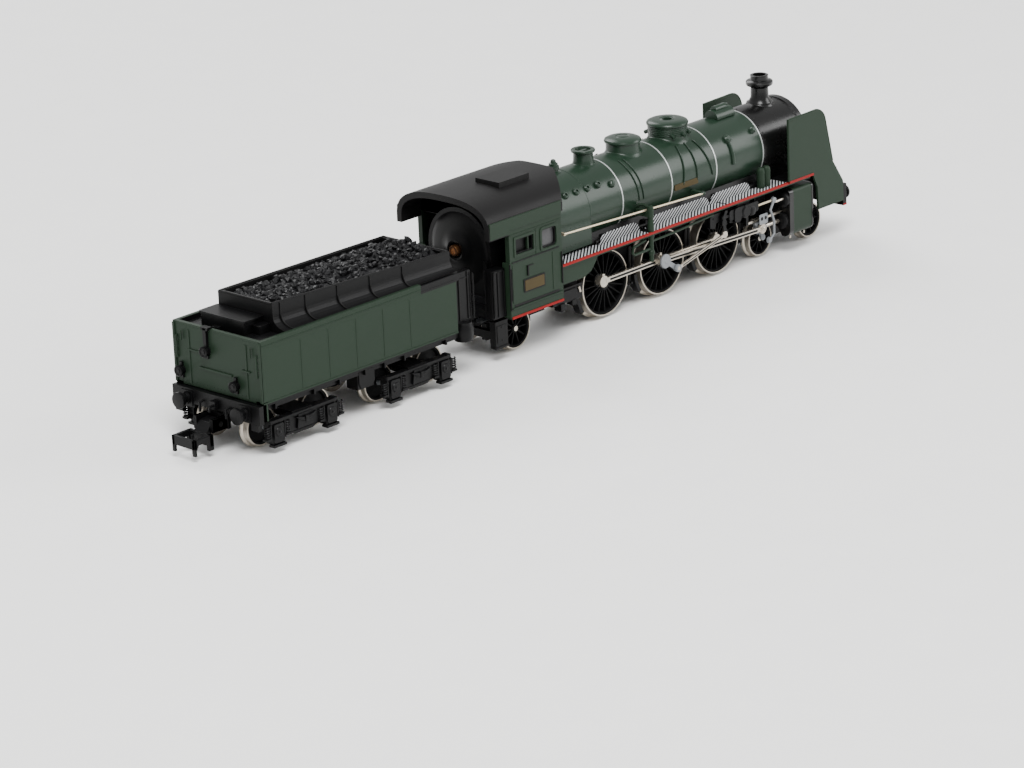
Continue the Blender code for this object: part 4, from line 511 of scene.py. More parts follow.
for side, word in SIDES:
    dx, dz = CRANK[side]
    pins = [(x + dx, AXLE_Z + dz) for x in (-SPACING, 0, SPACING)]
    piece = Piece(side)
    piece.add(STEEL, prism("Y", rod_outline(pins, 0.85, 0.38, 16), (6.32, 6.88)))
    for a, b in zip(pins, pins[1:]):
        piece.add(PLASTIC, fluted((a, b), 0.85, 6.88, 0.17))
    for pin in pins:
        piece.add(STEEL, turned("Y", pin, [(6.28, 0.5), (6.28, 0.92), (6.93, 0.88), (6.93, 0.5)], 28),
            block((pin[0] - 0.25, pin[0] + 0.25), (6.4, 6.85), (pin[1] + 0.7, pin[1] + 1.15)))
    piece.make("rod_coupling_" + word, "coupling_rod_" + word, ["coupling_rod_" + word],
        0.03)

    small_end = (dx + math.sqrt(MAIN_ROD_LENGTH**2 - dz**2), AXLE_Z)
    big_end = (dx, AXLE_Z + dz)
    piece = Piece(side)
    piece.add(STEEL, prism("Y", rod_outline([big_end, small_end], 0.8, 0.36, 16), (7.02, 7.48)))
    piece.add(PLASTIC, fluted((big_end, small_end), 0.85, 7.48, 0.16))
    for end, r in ((big_end, 0.9), (small_end, 0.75)):
        piece.add(STEEL, turned("Y", end, [(6.99, 0.5), (6.99, r), (7.52, r - 0.05), (7.52, 0.5)], 28))
    piece.add(STEEL, bar("Y", small_end, 0.52, (7.05, 7.6), 20), ball((small_end[0], 7.6, small_end[1]),
        0.34, flat=0.5, axis="Y", facets=14))
    piece.make("rod_main_" + word, "main_rod_" + word, ["main_rod_" + word], 0.03)

    head_x = small_end[0]
    piece = Piece(side)
    span = (6.3, 6.9)
    piece.add(DULL, prism("Y", rounded((head_x - 1.0, head_x + 1.0), (4.75, 6.65), 0.25), span),
        block((head_x - 1.25, head_x + 1.25), (6.35, 6.95), (6.25, 6.65)),
        block((head_x - 0.6, head_x + 0.6), (6.88, 7.56), (6.38, 6.72)),
        prism("Y", rounded((head_x - 1.0, head_x + 1.0), (6.36, 8.0), 0.2), (7.53, 7.66)))
    for offset in (-0.45, 0.45):
        piece.add(PLASTIC, bar("Y", (head_x + offset, 7.3), 0.3, (7.6, 7.68), 16))
    piece.add(DULL, prism("Y", rod_outline([(head_x + 0.3, 5.0), (head_x + 0.75, 3.9)], 0.5, 0.3),
        (6.38, 6.85)))
    rod_x = 27.3 + THROW + 0.8 + dx
    piece.add(STEEL, bar("X", (6.6, AXLE_Z), 0.33, (head_x, rod_x), 16))
    piece.add(DULL, bar("X", (6.6, AXLE_Z), 0.55, (head_x + 0.9, head_x + 1.35), 16))
    piece.make("crosshead_block_" + word, "crosshead_" + word, ["crosshead_" + word], 0.03)

    ex, ez = ECCENTRIC[side]
    ball_pin = (ex, AXLE_Z + ez)
    piece = Piece(side)
    piece.add(DULL, knob("Y", big_end, [(7.6, 1.1), (7.88, 1.1), (7.96, 1.0), (7.96, 0.35), (8.02, 0.3)],
        32), prism("Y", rod_outline([big_end, ball_pin], 0.5, 0.36), (7.62, 7.93)))
    piece.add(STEEL, bar("Y", ball_pin, 0.28, (7.7, 8.44), 16))
    piece.make("crank_return_" + word, "drivers_middle", ["return_crank_" + word], 0.02)

    run, rise = polar(ECCENTRIC_ROD_LENGTH, ECCENTRIC_ROD_SLOPE)
    far = (ball_pin[0] + run, ball_pin[1] + rise)
    piece = Piece(side)
    piece.add(STEEL, prism("Y", rod_outline([ball_pin, far], 0.55, 0.24, 14), (8.07, 8.38)))
    piece.add(PLASTIC, fluted((ball_pin, far), 0.5, 8.38, 0.09))
    piece.add(DULL, turned("Y", ball_pin, [(8.05, 0.3), (8.05, 0.62), (8.4, 0.58), (8.4, 0.3)], 24))
    piece.add(STEEL, bar("Y", far, 0.3, (8.05, 8.42), 16))
    piece.make("rod_eccentric_" + word, "eccentric_rod_" + word, ["eccentric_rod_" + word],
        0.02)

    # Motion bracket, expansion link, radius rod and combination lever
    piece = Piece(side)
    arch_outline = [(9.5, 8.6), (10.6, 8.35), (11.0, 9.2), (13.6, 9.2), (14.2, 8.35), (16.2, 8.4),
        (17.2, 9.3), (18.9, 9.3),
                    (18.9, 8.35), (20.3, 8.35), (20.3, 11.2), (16.4, 11.2), (16.0, 10.7), (10.0,
                        10.7), (9.5, 10.2)]
    piece.add(PLASTIC, prism("Y", arch_outline, (6.35, 7.4)), block((18.95, 20.2), (3.42, 7.4),
        (8.4, 11.15)))
    for x in (10.3, 15.2, 17.9, 19.6):
        piece.add(PLASTIC, ball((x, 7.4, 10.0), 0.22, flat=0.5, axis="Y"))
    link = [(12.2 + dx2, z) for dx2, z in ((0.3, 7.1), (-0.2, 8.0), (-0.38, 9.0), (-0.2, 10.0), (0.3, 10.9),
                                          (0.95, 10.75), (0.5, 9.9), (0.36, 9.0), (0.5, 8.1), (0.95, 7.25))]
    piece.add(PLASTIC, prism("Y", link, (7.62, 7.93)), bar("Y", (12.25, 9.0), 0.55, (7.3, 7.95), 20),
        block((13.7, 15.6), (7.0, 7.8), (8.8, 10.6)), prism("Y", rounded((14.5, 16.1), (8.4, 10.7), 0.5),
        (7.3, 8.15)), knob("Y", (17.4, 9.6), [(7.3, 1.1), (8.0, 1.05), (8.2, 0.8)], 28),
        prism("Y", rounded((13.4, 20.4), (9.0, 10.6), 0.4), (7.3, 8.0)),
        knob("Y", (19.1, 9.3), [(7.3, 0.8), (7.95, 0.75), (8.1, 0.5)], 24),
        prism("Y", rod_outline([(12.2, 9.8), (24.1, 9.8)], 0.42, 0.2, 10), (7.64, 7.88)))
    piece.add(CREAM, block((20.4, 23.6), (7.66, 7.93), (9.64, 9.96)))
    lever = ((24.1, 9.8), (23.2, 8.4), (24.0, 6.5), (24.0, 4.4), (22.9, 3.6))
    piece.add(DULL, tube([(x, 8.0, z) for x, z in lever], 0.2, 10))
    for pin in ((24.1, 9.8), (22.9, 3.6)):
        piece.add(DULL, knob("Y", pin, [(7.72, 0.5), (8.16, 0.44), (8.22, 0.2)], 20))
    piece.add(STEEL, bar("X", (7.7, 9.3), 0.22, (24.6, 26.7), 12))
    piece.make("motion_" + word, "loco", ["valve_gear_" + word], 0.03)

    # Cylinder with its covers, valve chest and slide bar
    piece = Piece(side)
    casing = [(6.0, 4.3), (6.8, 2.95)] + arc((7.2, 4.2), 1.25, -88, 0,
        8) + [(8.45, 8.2)] + arc((7.75, 9.9), 0.7, 0, 90, 5) + [(6.0, 10.6)]
    piece.add(GREEN, prism("X", casing, (28.3, 32.8)), prism("X", [(3.5, 9.0), (6.3, 9.0), (6.3, 10.7),
        (3.5, 10.7)], (28.0, 32.5)))
    swell = [(y + 0.04 if y > 8 else y, z) for y, z in casing]
    for span in ((27.35, 28.35), (32.75, 33.15)):
        piece.add(GLOSS_BLACK, prism("X", swell, span))
    piece.add(BLACK, block((27.35, 28.0), (3.5, 6.1), (6.6, 10.9)))
    for x in (28.1, 32.4):
        for z in (4.6, 6.0, 7.4, 8.8):
            piece.add(GREEN, rivet((x, 8.44, z), 0.09))
    for z, radius in ((AXLE_Z, 1.95), (9.0, 1.25)):
        y = (6.9 if z == AXLE_Z else 7.25)
        rear = min(radius, 1.3)
        piece.add(BLACK, knob("X", (y, z), [(27.4, rear * 1.05), (26.85, rear), (26.7, rear * 0.8),
            (26.62, 0.8)], 28), knob("X", (y, z), [(33.1, radius * 0.94), (33.35, radius * 0.8),
            (33.45, 0.4)], 28))
        for i in range(8):
            by, bz = polar(rear * 0.76, 45 * i + 22)
            piece.add(BLACK, ball((26.78, y + side * by, z + bz), 0.11, flat=0.8, axis="X", rows=3, facets=6))
    piece.add(STEEL, block((18.7, 27.7), (6.35, 6.85), (6.78, 7.12)))
    piece.add(PLASTIC, block((18.6, 19.2), (6.3, 6.9), (6.75, 8.6)))
    piece.add(STEEL, rod((28.6, 7.4, 2.9), (28.6, 7.4, 2.4), 0.16),
        rod((32.0, 7.4, 2.9), (32.0, 7.4, 2.4), 0.16))
    piece.make("cylinder_block_" + word, "loco", ["cylinder_" + word], 0.03)


# ---- Boiler, smokebox and fittings ------------------------------------------------


def on_round(x, degrees, radius):
    """A point on the boiler's barrel. 0 degrees is the left side and 90 the top."""
    dy, dz = polar(radius, degrees)
    return x, dy, BOILER_Z + dz


def band(x, width, radius, start=-40, end=220, steps=48):
    """A thin strap round the barrel, open below."""
    near, far = radius - 0.1, radius + 0.07
    outline = arc((0, BOILER_Z), far, start, end, steps) + arc((0, BOILER_Z), near, end, start, steps)
    return prism("X", outline, (x - width / 2, x + width / 2))


def seat(centre, radius, height, flare, facets=40, rings=5):
    """A skirt that follows the barrel's curve below a dome."""
    points, faces = [], []
    for ring in range(rings + 1):
        share = ring / rings
        reach = radius + flare * (1 - share) ** 2
        for i in range(facets):
            angle = 2 * math.pi * i / facets
            x, y = centre + reach * math.cos(angle), reach * math.sin(angle)
            foot = BOILER_Z + math.sqrt(max(0.0, (BOILER_R - 0.02) ** 2 - y**2))
            points.append((x, y, foot + (BOILER_Z + BOILER_R + height - foot) * share**1.5))
    for ring in range(rings):
        for i in range(facets):
            j = (i + 1) % facets
            faces.append((ring * facets + i, ring * facets + j, (ring + 1) * facets + j,
                (ring + 1) * facets + i))
    faces.append(tuple(range(facets)))
    faces.append(tuple(range(rings * facets, (rings + 1) * facets)))
    return points, faces


TWELFTHS = [i / 12 for i in range(13)]
piece = Piece()
barrel = arc((0, BOILER_Z), BOILER_R, -52, 232, 72)
inner = arc((0, BOILER_Z), BOILER_R - 0.7, 232, -52, 72)
piece.add(GLOSS_GREEN, prism("X", barrel + inner, (-25.0, 24.65)))
wrapper = [(5.9, 12.4), (5.9, 16.4)] + arc((0, BOILER_Z), 5.9, 4, 176, 40) + [(-5.9, 16.4), (-5.9, 12.4),
    (-5.1, 12.4), (-5.1, 16.4)]
wrapper += arc((0, BOILER_Z), 5.15, 176, 4, 40) + [(5.1, 16.4), (5.1, 12.4)]
piece.add(GLOSS_GREEN, prism("X", wrapper, (-25.0, -15.8)), block((-16.4, -15.8), (3.6, 5.85),
    (12.4, 16.5)), block((-16.4, -15.8), (-5.85, -3.6), (12.4, 16.5)))
for x in (-8.4, 2.85, 13.3):
    piece.add(SILVER, band(x, 0.24, BOILER_R))
piece.add(SILVER, band(24.5, 0.24, BOILER_R))
piece.add(GLOSS_GREEN, band(-15.75, 0.35, 5.86, -4, 184))
for piece.side in BOTH:
    for x in (-20.0, -17.6, -15.2, -12.8):
        cup = knob("Z", (x, 0), [(BOILER_Z + 5.7, 0.62), (BOILER_Z + 6.15, 0.56), (BOILER_Z + 6.3, 0.4),
            (BOILER_Z + 6.3, 0.24), (BOILER_Z + 6.05, 0.2)], 16)
        piece.add(GLOSS_GREEN, leaning(cup, (x, 0, BOILER_Z), -52, "X"))
    px, py, pz = on_round(-10.0, 90 - 58, 5.8)
    piece.add(GLOSS_GREEN, ball((px, py, pz), 0.6, facets=12))
    for z in (13.2, 15.9):
        for i in range(9):
            piece.add(GLOSS_GREEN, ball((-24.4 + i, 5.9, z), 0.1, flat=0.6, axis="Y", rows=3,
                facets=6))
    # Sand pipes and small pipes that lie on the barrel
    for x0, x1 in ((6.7, 5.4), (8.7, 8.7), (10.6, 12.3)):
        route = [on_round(x0 + (x1 - x0) * t, 90 - (34 + 62 * t), BOILER_R + 0.1) for t in TWELFTHS]
        piece.add(GLOSS_GREEN, tube(route, 0.12))
    for x in (-5.6, -4.6):
        route = [on_round(x + 0.9 * t, 90 - (26 + 70 * t), BOILER_R + 0.08) for t in TWELFTHS]
        piece.add(GLOSS_GREEN, tube(route, 0.1))
    # Nameplate, left blank
    plate = prism("Y", rounded((3.4, 8.8), (15.85, 16.75), 0.12), (5.5, 5.86))
    piece.add(DULL_BRASS, plate)
    # Check valve and its cover on the barrel's flank
    for x, r in ((17.2, 0.75), (23.2, 0.55)):
        boss = knob("Z", (x, 0), [(BOILER_Z + 5.5, r), (BOILER_Z + 6.15, r * 0.85),
            (BOILER_Z + 6.4, r * 0.5)], 20)
        piece.add(GLOSS_GREEN, leaning(boss, (x, 0, BOILER_Z), -52, "X"))
    route = [on_round(17.2, 90 - a, BOILER_R + 0.1) for a in range(56, 96, 6)]
    piece.add(GLOSS_GREEN, tube(route, 0.3, 12))
piece.add(GLOSS_GREEN, prism("X", arc((0, 22.7), 1.35, 0, 180, 16), (19.0, 23.2)),
    bar("X", (0, 24.0), 0.6, (19.6, 22.4), 20), bar("Z", (22.2, 0), 0.55, (23.5, 24.5), 20))
turret = [(21.9, 0), (21.9, 2.0), (22.7, 1.68), (23.1, 1.55), (24.2, 1.5), (24.4, 1.58), (24.5, 1.82),
    (24.78, 1.86), (24.88, 1.76), (24.86, 1.2), (24.5, 1.1), (24.5, 0)]
piece.add(GLOSS_GREEN, turned("Z", (-10.6, 0), turret, 36), seat(-10.6, 1.6, 0.1, 0.5),
    block((-11.4, -9.8), (-0.25, 0.25), (24.4, 24.7)))
piece.make("boiler_clad", "loco", ["boiler_shell"], 0.03)

piece = Piece()
box_profile = [(24.76, 4.9), (24.76, 5.78), (25.0, 5.82), (33.9, 5.82), (34.0, 5.98), (35.1, 5.98),
    (35.25, 5.8), (35.3, 4.9)]
piece.add(GLOSS_BLACK, turned("X", (0, BOILER_Z), box_profile, 96))
door = [(35.1, 0), (35.1, 5.3), (35.4, 5.25), (35.75, 4.9), (36.3, 3.8), (36.75, 2.0), (36.88, 0.7),
    (36.88, 0)]
piece.add(GLOSS_BLACK, turned("X", (0, BOILER_Z), door, 72), turned("X", (0, BOILER_Z),
    [(35.3, 5.05), (35.62, 5.0), (35.5, 4.7), (35.3, 4.7)], 72))
piece.add(STEEL, bar("X", (0, BOILER_Z), 0.55, (36.7, 37.0), 24), rod((36.98, -0.9, 16.4),
    (36.98, 0.9, 17.6), 0.14))
for z in (15.1, 18.9):
    piece.add(GLOSS_BLACK, block((35.5, 36.5), (-4.9, -0.6), (z - 0.22, z + 0.22)))
piece.add(GLOSS_BLACK, bar("Z", (36.0, -5.0), 0.25, (14.6, 19.4), 12))
for angle in range(-30, 211, 12):
    for x in (25.2, 33.7):
        px, py, pz = on_round(x, angle, 5.84)
        piece.add(GLOSS_BLACK, ball((px, py, pz), 0.12, rows=3, facets=6))
for i in range(24):
    dy, dz = polar(5.5, 15 * i)
    piece.add(GLOSS_BLACK, ball((35.28, dy, BOILER_Z + dz), 0.12, flat=0.6, axis="X", rows=3, facets=6))
piece.add(GLOSS_BLACK, prism("X", [(4.3, 11.2), (5.5, 15.0), (-5.5, 15.0), (-4.3, 11.2)], (25.2, 33.5)))
piece.make("smokebox_clad", "loco", ["smokebox"], 0.03)

piece = Piece()
sand = [(22.6, 0), (22.6, 2.98)]
for i in range(5):
    sand += [(22.95 + 0.28 * i, 2.98), (23.0 + 0.28 * i, 3.06), (23.12 + 0.28 * i, 3.06),
        (23.17 + 0.28 * i, 2.98)]
sand += [(24.34, 3.0), (24.4, 3.2), (24.66, 3.24), (24.88, 3.1), (25.06, 2.7), (25.16, 2.0), (25.18, 1.25),
    (25.1, 1.15), (25.18, 1.05), (25.1, 0.75), (24.6, 0.7), (24.6, 0)]
piece.add(GLOSS_GREEN, turned("Z", (8.7, 0), sand, 56), seat(8.7, 3.0, 0.15, 0.35))
for piece.side in BOTH:
    for x in (6.9, 8.7, 10.5):
        dy = math.sqrt(3.2**2 - (x - 8.7) ** 2)
        piece.add(GLOSS_GREEN, leaning(bar("Y", (x, 23.1), 0.32, (dy - 0.5, dy + 0.35), 12), (x, dy, 23.1),
            -25, "X"))
piece.make("dome_sand", "loco", ["sand_dome"], 0.02)
piece = Piece()
steam = [(22.5, 0), (22.5, 2.66), (23.0, 2.6), (23.9, 2.58), (23.98, 2.8), (24.2, 2.86), (24.45, 2.74),
    (24.66, 2.3), (24.78, 1.6), (24.8, 1.1), (24.72, 1.0), (24.78, 0.9), (24.8, 0)]
piece.add(GLOSS_GREEN, turned("Z", (-1.65, 0), steam, 56), seat(-1.65, 2.62, 0.1, 0.4))
piece.make("dome_steam", "loco", ["steam_dome"], 0.02)
piece = Piece()
valve = [(22.3, 0), (22.3, 1.2), (22.9, 1.12), (23.0, 0.72), (23.3, 0.7), (23.36, 0.86), (23.8, 0.88),
    (23.86, 0.72), (24.2, 0.68),
         (24.3, 0.45), (24.6, 0.4), (24.78, 0.25), (24.8, 0)]
piece.add(GLOSS_GREEN, turned("Z", (-17.24, 0), valve, 32), seat(-17.24, 1.1, 0.05, 0.25))
piece.make("valve_safety", "loco", ["safety_valve"], 0.0)
piece = Piece()
stack = [(22.2, 0), (22.2, 2.2), (22.6, 2.12), (23.1, 1.7), (23.7, 1.42), (25.2, 1.38), (25.35, 1.5),
    (25.55, 2.0), (25.75, 2.13), (26.15, 2.13),
         (26.3, 2.0), (26.45, 1.48), (26.95, 1.4), (27.15, 1.45), (27.2, 1.35), (27.18, 1.0), (25.4,
             0.95), (25.4, 0)]
piece.add(GLOSS_BLACK, turned("Z", (30.8, 0), stack, 48), seat(30.8, 2.1, 0.1, 0.45))
piece.make("stack", "loco", ["chimney"], 0.0)

piece = Piece()
(rx0, rz0), (rx1, rz1) = (-23.6, 16.1), (8.0, 14.7)
piece.add(CREAM, rod((rx0, -7.5, rz0), (rx1, -7.5, rz1), 0.17, 12),
    block((rx0 - 0.1, rx0 + 0.3), (-7.6, -5.95), (rz0 - 0.25, rz0 + 0.15)))
piece.add(GLOSS_GREEN, block((7.3, 8.0), (-7.65, -5.4), (14.4, 15.0)),
    ball((8.0, -7.5, rz1), 0.34, facets=12))
piece.make("reach_wire", "loco", ["reach_rod"], 0.02)

# ---- Running boards -----------------------------------------------------------------


def hump(x0, x1, foot=BOARD_TOP, high=1.6):
    """An upright panel of tread plate with rounded upper corners."""
    outline = [(x0, foot), (x1, foot)] + arc((x1 - high, foot), high, 8, 90, 8)
    return prism("Y", outline + arc((x0 + high, foot), high, 90, 172, 8), (6.2, 6.32))


for side, word in SIDES:
    piece = Piece(side)
    low_z = BOARD_TOP - 0.45
    piece.add(BLACK, block((-25.8, 32.6), (3.42, 8.2), (low_z, BOARD_TOP - 0.02)))
    piece.add(GREEN, block((-25.75, 32.55), (7.95, 8.46), (low_z - 0.05, BOARD_TOP - 0.06)))
    piece.add(RED, block((-25.85, 32.62), (8.2, 8.5), (BOARD_TOP - 0.3, BOARD_TOP + 0.05)))
    for x0, x1 in ((-25.7, -5.6), (-4.2, 12.4), (12.9, 27.0)):
        piece.add(TREAD, block((x0, x1), (5.2, 8.18), (BOARD_TOP - 0.1, BOARD_TOP + 0.03)))
    sheet = [(-25.8, BOARD_TOP - 0.2), (-25.8, 8.75), (-20.2, 8.75), (-18.6, 9.35), (-17.5, 10.6),
        (-16.9, BOARD_TOP - 0.2)]
    piece.add(GREEN, prism("Y", sheet, (7.7, 8.15)))
    under = [(-6.2, 8.0, 10.9), (-9.0, 8.0, 10.4), (-9.2, 8.0, 9.6), (-8.8, 8.0, 9.2), (-4.9, 8.0, 9.3)]
    piece.add(GREEN, tube(under, 0.22, 10), tube([(-4.9, 8.0, 10.4), (0.5, 8.0, 10.5), (9.5, 8.0, 11.0)],
        0.2, 10))
    for x in (-12.0, -2.0, 5.0, 15.5, 23.5):
        piece.add(BLACK, prism("X", [(3.6, 10.2), (4.2, 10.2), (8.0, 11.3), (8.0, low_z), (3.6, low_z)],
            (x - 0.2, x + 0.2)))
    # Feed pipe that stands on the right-hand board
    pipe = [(7.25, 0), (7.25, 0.32), (8.3, 0.36), (8.45, 0.5), (8.9, 0.5), (9.05, 0.38), (11.0, 0.38),
        (11.2, 0.62), (13.2, 0.62), (13.35, 0.42), (14.1, 0.42), (14.2, 0.66), (15.6, 0.62), (15.9, 0.4),
        (15.98, 0)]
    if side < 0:
        pipe = [(z, min(r, 0.5)) for z, r in pipe]
        piece.add(GREEN, turned("Z", (-4.9, 8.0), pipe, 20), block((-5.5, -4.3), (5.6, 7.9), (14.3, 15.3)),
            tube([(-4.9, 8.0, 15.4), (-4.9, 6.9, 15.9), (-5.3, 5.9, 15.9)], 0.25, 10))
    for x in (22.6, 23.95):
        lobe = [(11.9, 0), (11.9, 0.62), (14.4, 0.66), (14.85, 0.6), (15.1, 0.4), (15.2, 0)]
        piece.add(GREEN, turned("Z", (x, 6.7), lobe, 20))
    for x0, x1 in ((-14.5, -5.5), (-3.5, 10.7), (10.9, 20.5)):
        piece.add(TREAD, hump(x0, x1))
    piece.make("board_" + word, "loco", ["running_board_" + word], 0.02)

    # Black sheet between the board and the barrel: painted shade for the dark space under the boiler, with black
    # blocks and short pipes along it
    piece = Piece(side)
    piece.add(BLACK, prism("X", [(3.5, 12.0), (5.6, 12.0), (4.5, 13.6), (3.5, 13.6)], (-15.6, 24.6)))
    for x in (-12.6, -3.4, 4.4, 13.2, 22.0):
        piece.add(BLACK, block((x - 0.5, x + 0.5), (4.0, 6.1), (12.0, 13.0)),
            tube([(x - 2.5, 5.9, 12.4), (x + 2.2, 5.9, 12.5)], 0.25, 8))
    piece.make("shade_sheet_and_pipes_" + word, "loco", (), 0.04)

    # Smoke deflector
    piece = Piece(side)
    plate = [(27.3, 12.0), (27.3, 21.75), (27.5, 21.95)] + arc((33.9, 19.55), 2.4, 90, 15, 10)
    plate += [(37.9, 13.0), (40.4, 9.2), (40.5, 5.9), (34.25, 5.9), (34.0, 9.6), (32.9, 12.0)]
    piece.add(GREEN, prism("Y", plate, (8.3, 8.7)))
    edge = [(27.3, 8.5, 12.0), (27.3, 8.5, 21.9), (33.9, 8.5, 21.95)] + [(x, 8.5, z) for x,
        z in arc((33.9, 19.55), 2.4, 90, 15, 8)] + [(37.9, 8.5, 13.0)]
    piece.add(GREEN, tube(edge, 0.24, 8))
    piece.add(RED, block((27.2, 33.1), (8.5, 8.76), (11.75, 12.12)))
    piece.add(GREEN, tube([(34.0, 8.4, 18.4), (34.0, 6.5, 19.0), (34.0, 5.2, 19.4)], 0.2, 8))
    piece.make("deflector_plate_" + word, "loco", ["deflector_" + word], 0.03)

# ---- Cab ------------------------------------------------------------------------------

for side, word in SIDES:
    face = CAB_FACE
    piece = Piece(side)
    for rear, front, foot, head, corner in ((-30.3, -27.0, 15.7, 18.8, 0.5),
            (-35.9, -31.9, 16.2, 18.7, 0.1)):
        outer = rounded((rear - 0.28, front + 0.28), (foot - 0.28, head + 0.28), corner + 0.1)
        opening = rounded((rear + 0.1, front - 0.1), (foot + 0.1, head - 0.1), corner)
        piece.add(GREEN, rim("Y", outer, opening, (face - 0.75, face + 0.12)))
        inner_rim = rounded((rear + 0.28, front - 0.28), (foot + 0.28, head - 0.28), corner)
        piece.add(BLACK, rim("Y", opening, inner_rim, (face - 0.6, face - 0.1)))
    piece.add(GLASS, block((-30.2, -27.1), (face - 0.55, face - 0.45), (15.8, 18.7)))
    # Black sheet just inside the rear window: painted shade for the dark cab behind it
    piece.add(BLACK, block((-35.8, -32.0), (face - 0.9, face - 0.7), (16.3, 18.6)))
    piece.add(GREEN, block((-33.0, -32.75), (face - 0.6, face - 0.2), (16.2, 18.7)),
        block((-31.5, -31.2), (face, face + 0.07), (15.4, 19.2)))
    piece.add(BLACK, block((-36.7, -26.6), (face, face + 0.1), (15.2, 15.36)))
    piece.add(GREEN, block((-37.05, -26.0), (face, face + 0.08), (19.35, 19.5)))
    # Door line, handle, blank number plate, step line and red edge
    piece.add(BLACK, block((-33.55, -33.3), (face + 0.02, face + 0.22), (12.6, 14.1)),
        block((-33.6, -32.2), (face, face + 0.1), (14.0, 14.14)))
    for x in (-36.6, -28.0):
        piece.add(GREEN, block((x - 0.06, x + 0.06), (face, face + 0.06), (9.1, 14.9)))
    piece.add(BLACK, prism("Y", rounded((-34.4, -29.8), (10.2, 12.2), 0.15), (face, face + 0.1)))
    piece.add(DULL_BRASS, prism("Y", rounded((-34.15, -30.05), (10.4, 12.0), 0.1),
        (face + 0.08, face + 0.15)))
    piece.add(BLACK, block((-36.4, -26.8), (face, face + 0.06), (8.5, 8.85)))
    piece.add(GREEN, block((-36.9, -26.0), (face, face + 0.18), (8.25, 8.45)))
    piece.add(RED, block((-37.05, -25.95), (face - 0.2, face + 0.12), (6.8, 7.15)))
    for x in (-36.95, -26.1):
        piece.add(BLACK, rod((x, 9.2, 9.6), (x, 9.2, 14.4), 0.12))
    # Rain strip and the two hooks on the roof
    piece.add(GREEN, block((-41.15, -25.95), (face - 0.2, face + 0.17), (20.3, 22.15)),
        block((-41.15, -37.05), (face - 0.2, face + 0.16), (19.75, 20.4)),
        block((-37.25, -37.0), (7.7, face + 0.02), (7.0, 15.3)))
    for x in (-35.3, -27.0):
        hook = [(x - 0.45, 8.45, 22.75), (x - 0.3, 8.75, 22.3), (x + 0.1, 8.8, 22.1),
            (x + 0.4, 8.65, 22.35)]
        piece.add(ROOF, tube(hook, 0.17, 8))
    piece.make("cab_fittings_" + word, "loco", (), 0.02)

piece = Piece()
piece.add(BLACK, block((-36.9, -26.6), (-8.2, 8.2), (20.3, 20.6)))
for y in (-8.15, 8.15):
    piece.add(BLACK, block((-36.9, -26.8), (y - 0.08, y + 0.08), (9.8, 15.5)))
for piece.side in BOTH:
    for y in (6.75, 8.05):
        piece.add(PLASTIC, block((-40.12, -39.95), (y - 0.12, y + 0.12), (7.4, 14.5)))
    for x in (-39.8, -38.9, -37.6):
        piece.add(PLASTIC, block((x - 0.12, x + 0.12), (8.18, 8.34), (7.5, 14.5)))
    piece.add(PLASTIC, block((-39.9, -37.5), (8.18, 8.34), (14.25, 14.5)),
        rod((-37.2, 9.15, 8.2), (-37.2, 9.15, 15.2), 0.13), rod((-40.0, 8.5, 8.0), (-40.0, 8.5, 14.4),
        0.13))
cowl = [(-38.9, 1.2), (-39.0, 1.5), (-38.8, 2.1), (-38.5, 2.5), (-38.4, 3.4), (-38.35, 4.6), (-38.0, 5.6),
    (-37.6, 6.0), (-37.4, 0.75), (-38.3, 0.75), (-38.3, 1.2)]
piece.add(PLASTIC, turned("X", (0, 16.2), cowl, 48))
piece.add(BRONZE, turned("X", (0, 16.2), [(-39.4, 0.5), (-39.4, 0.76), (-39.25, 0.84), (-38.1, 0.84),
    (-38.1, 0.5)], 36))
piece.add(PLASTIC, block((-38.3, -38.0), (-5.6, -4.9), (9.9, 15.2)),
    block((-38.3, -38.0), (4.9, 5.6), (9.9, 15.2)))
piece.make("cab_interior", "loco", ["motor_bearing"], 0.03)



def roof_section(half, crown, low, steps=48):
    """The roof's outline across the cab: upright sides and a flattened arch."""
    points = [(half, low)]
    for i in range(steps + 1):
        angle = math.pi * i / steps
        cosine = math.cos(angle)
        y = half * math.copysign(abs(cosine) ** 0.75, cosine)
        points.append((y, 20.5 + (crown - 20.5) * abs(math.sin(angle)) ** 0.75))
    return points + [(-half, low)]


def roof_front(y):
    """Where the roof's front edge is along the cab, drawn back towards its sides."""
    return -21.0 if abs(y) < 3.4 else -21.0 - 4.6 * (abs(y) - 3.4) / 5.8


piece = Piece()
skin = roof_section(9.22, 25.12, 21.72) + [(y, z) for y, z in reversed(roof_section(8.3, 24.2, 21.72))]
count = len(skin)
points = [(-37.2, y, z) for y, z in skin] + [(roof_front(y), y, z) for y, z in skin]
faces = [(i, (i + 1) % count, count + (i + 1) % count, count + i) for i in range(count)]
faces += [tuple(range(count)), tuple(range(count, 2 * count))]
piece.add(ROOF, (points, faces))
flap = roof_section(9.22, 25.12, 19.6) + [(y, z) for y, z in reversed(roof_section(8.3, 24.2, 19.6))]
piece.add(ROOF, prism("X", flap, (-41.3, -37.2)), block((-33.5, -27.1), (-4.2, 0.5), (24.2, 25.78)))
piece.make("roof_skin", "loco", ["cab_roof"], 0.05)

# ---- Front end, bogie and truck ---------------------------------------------------------

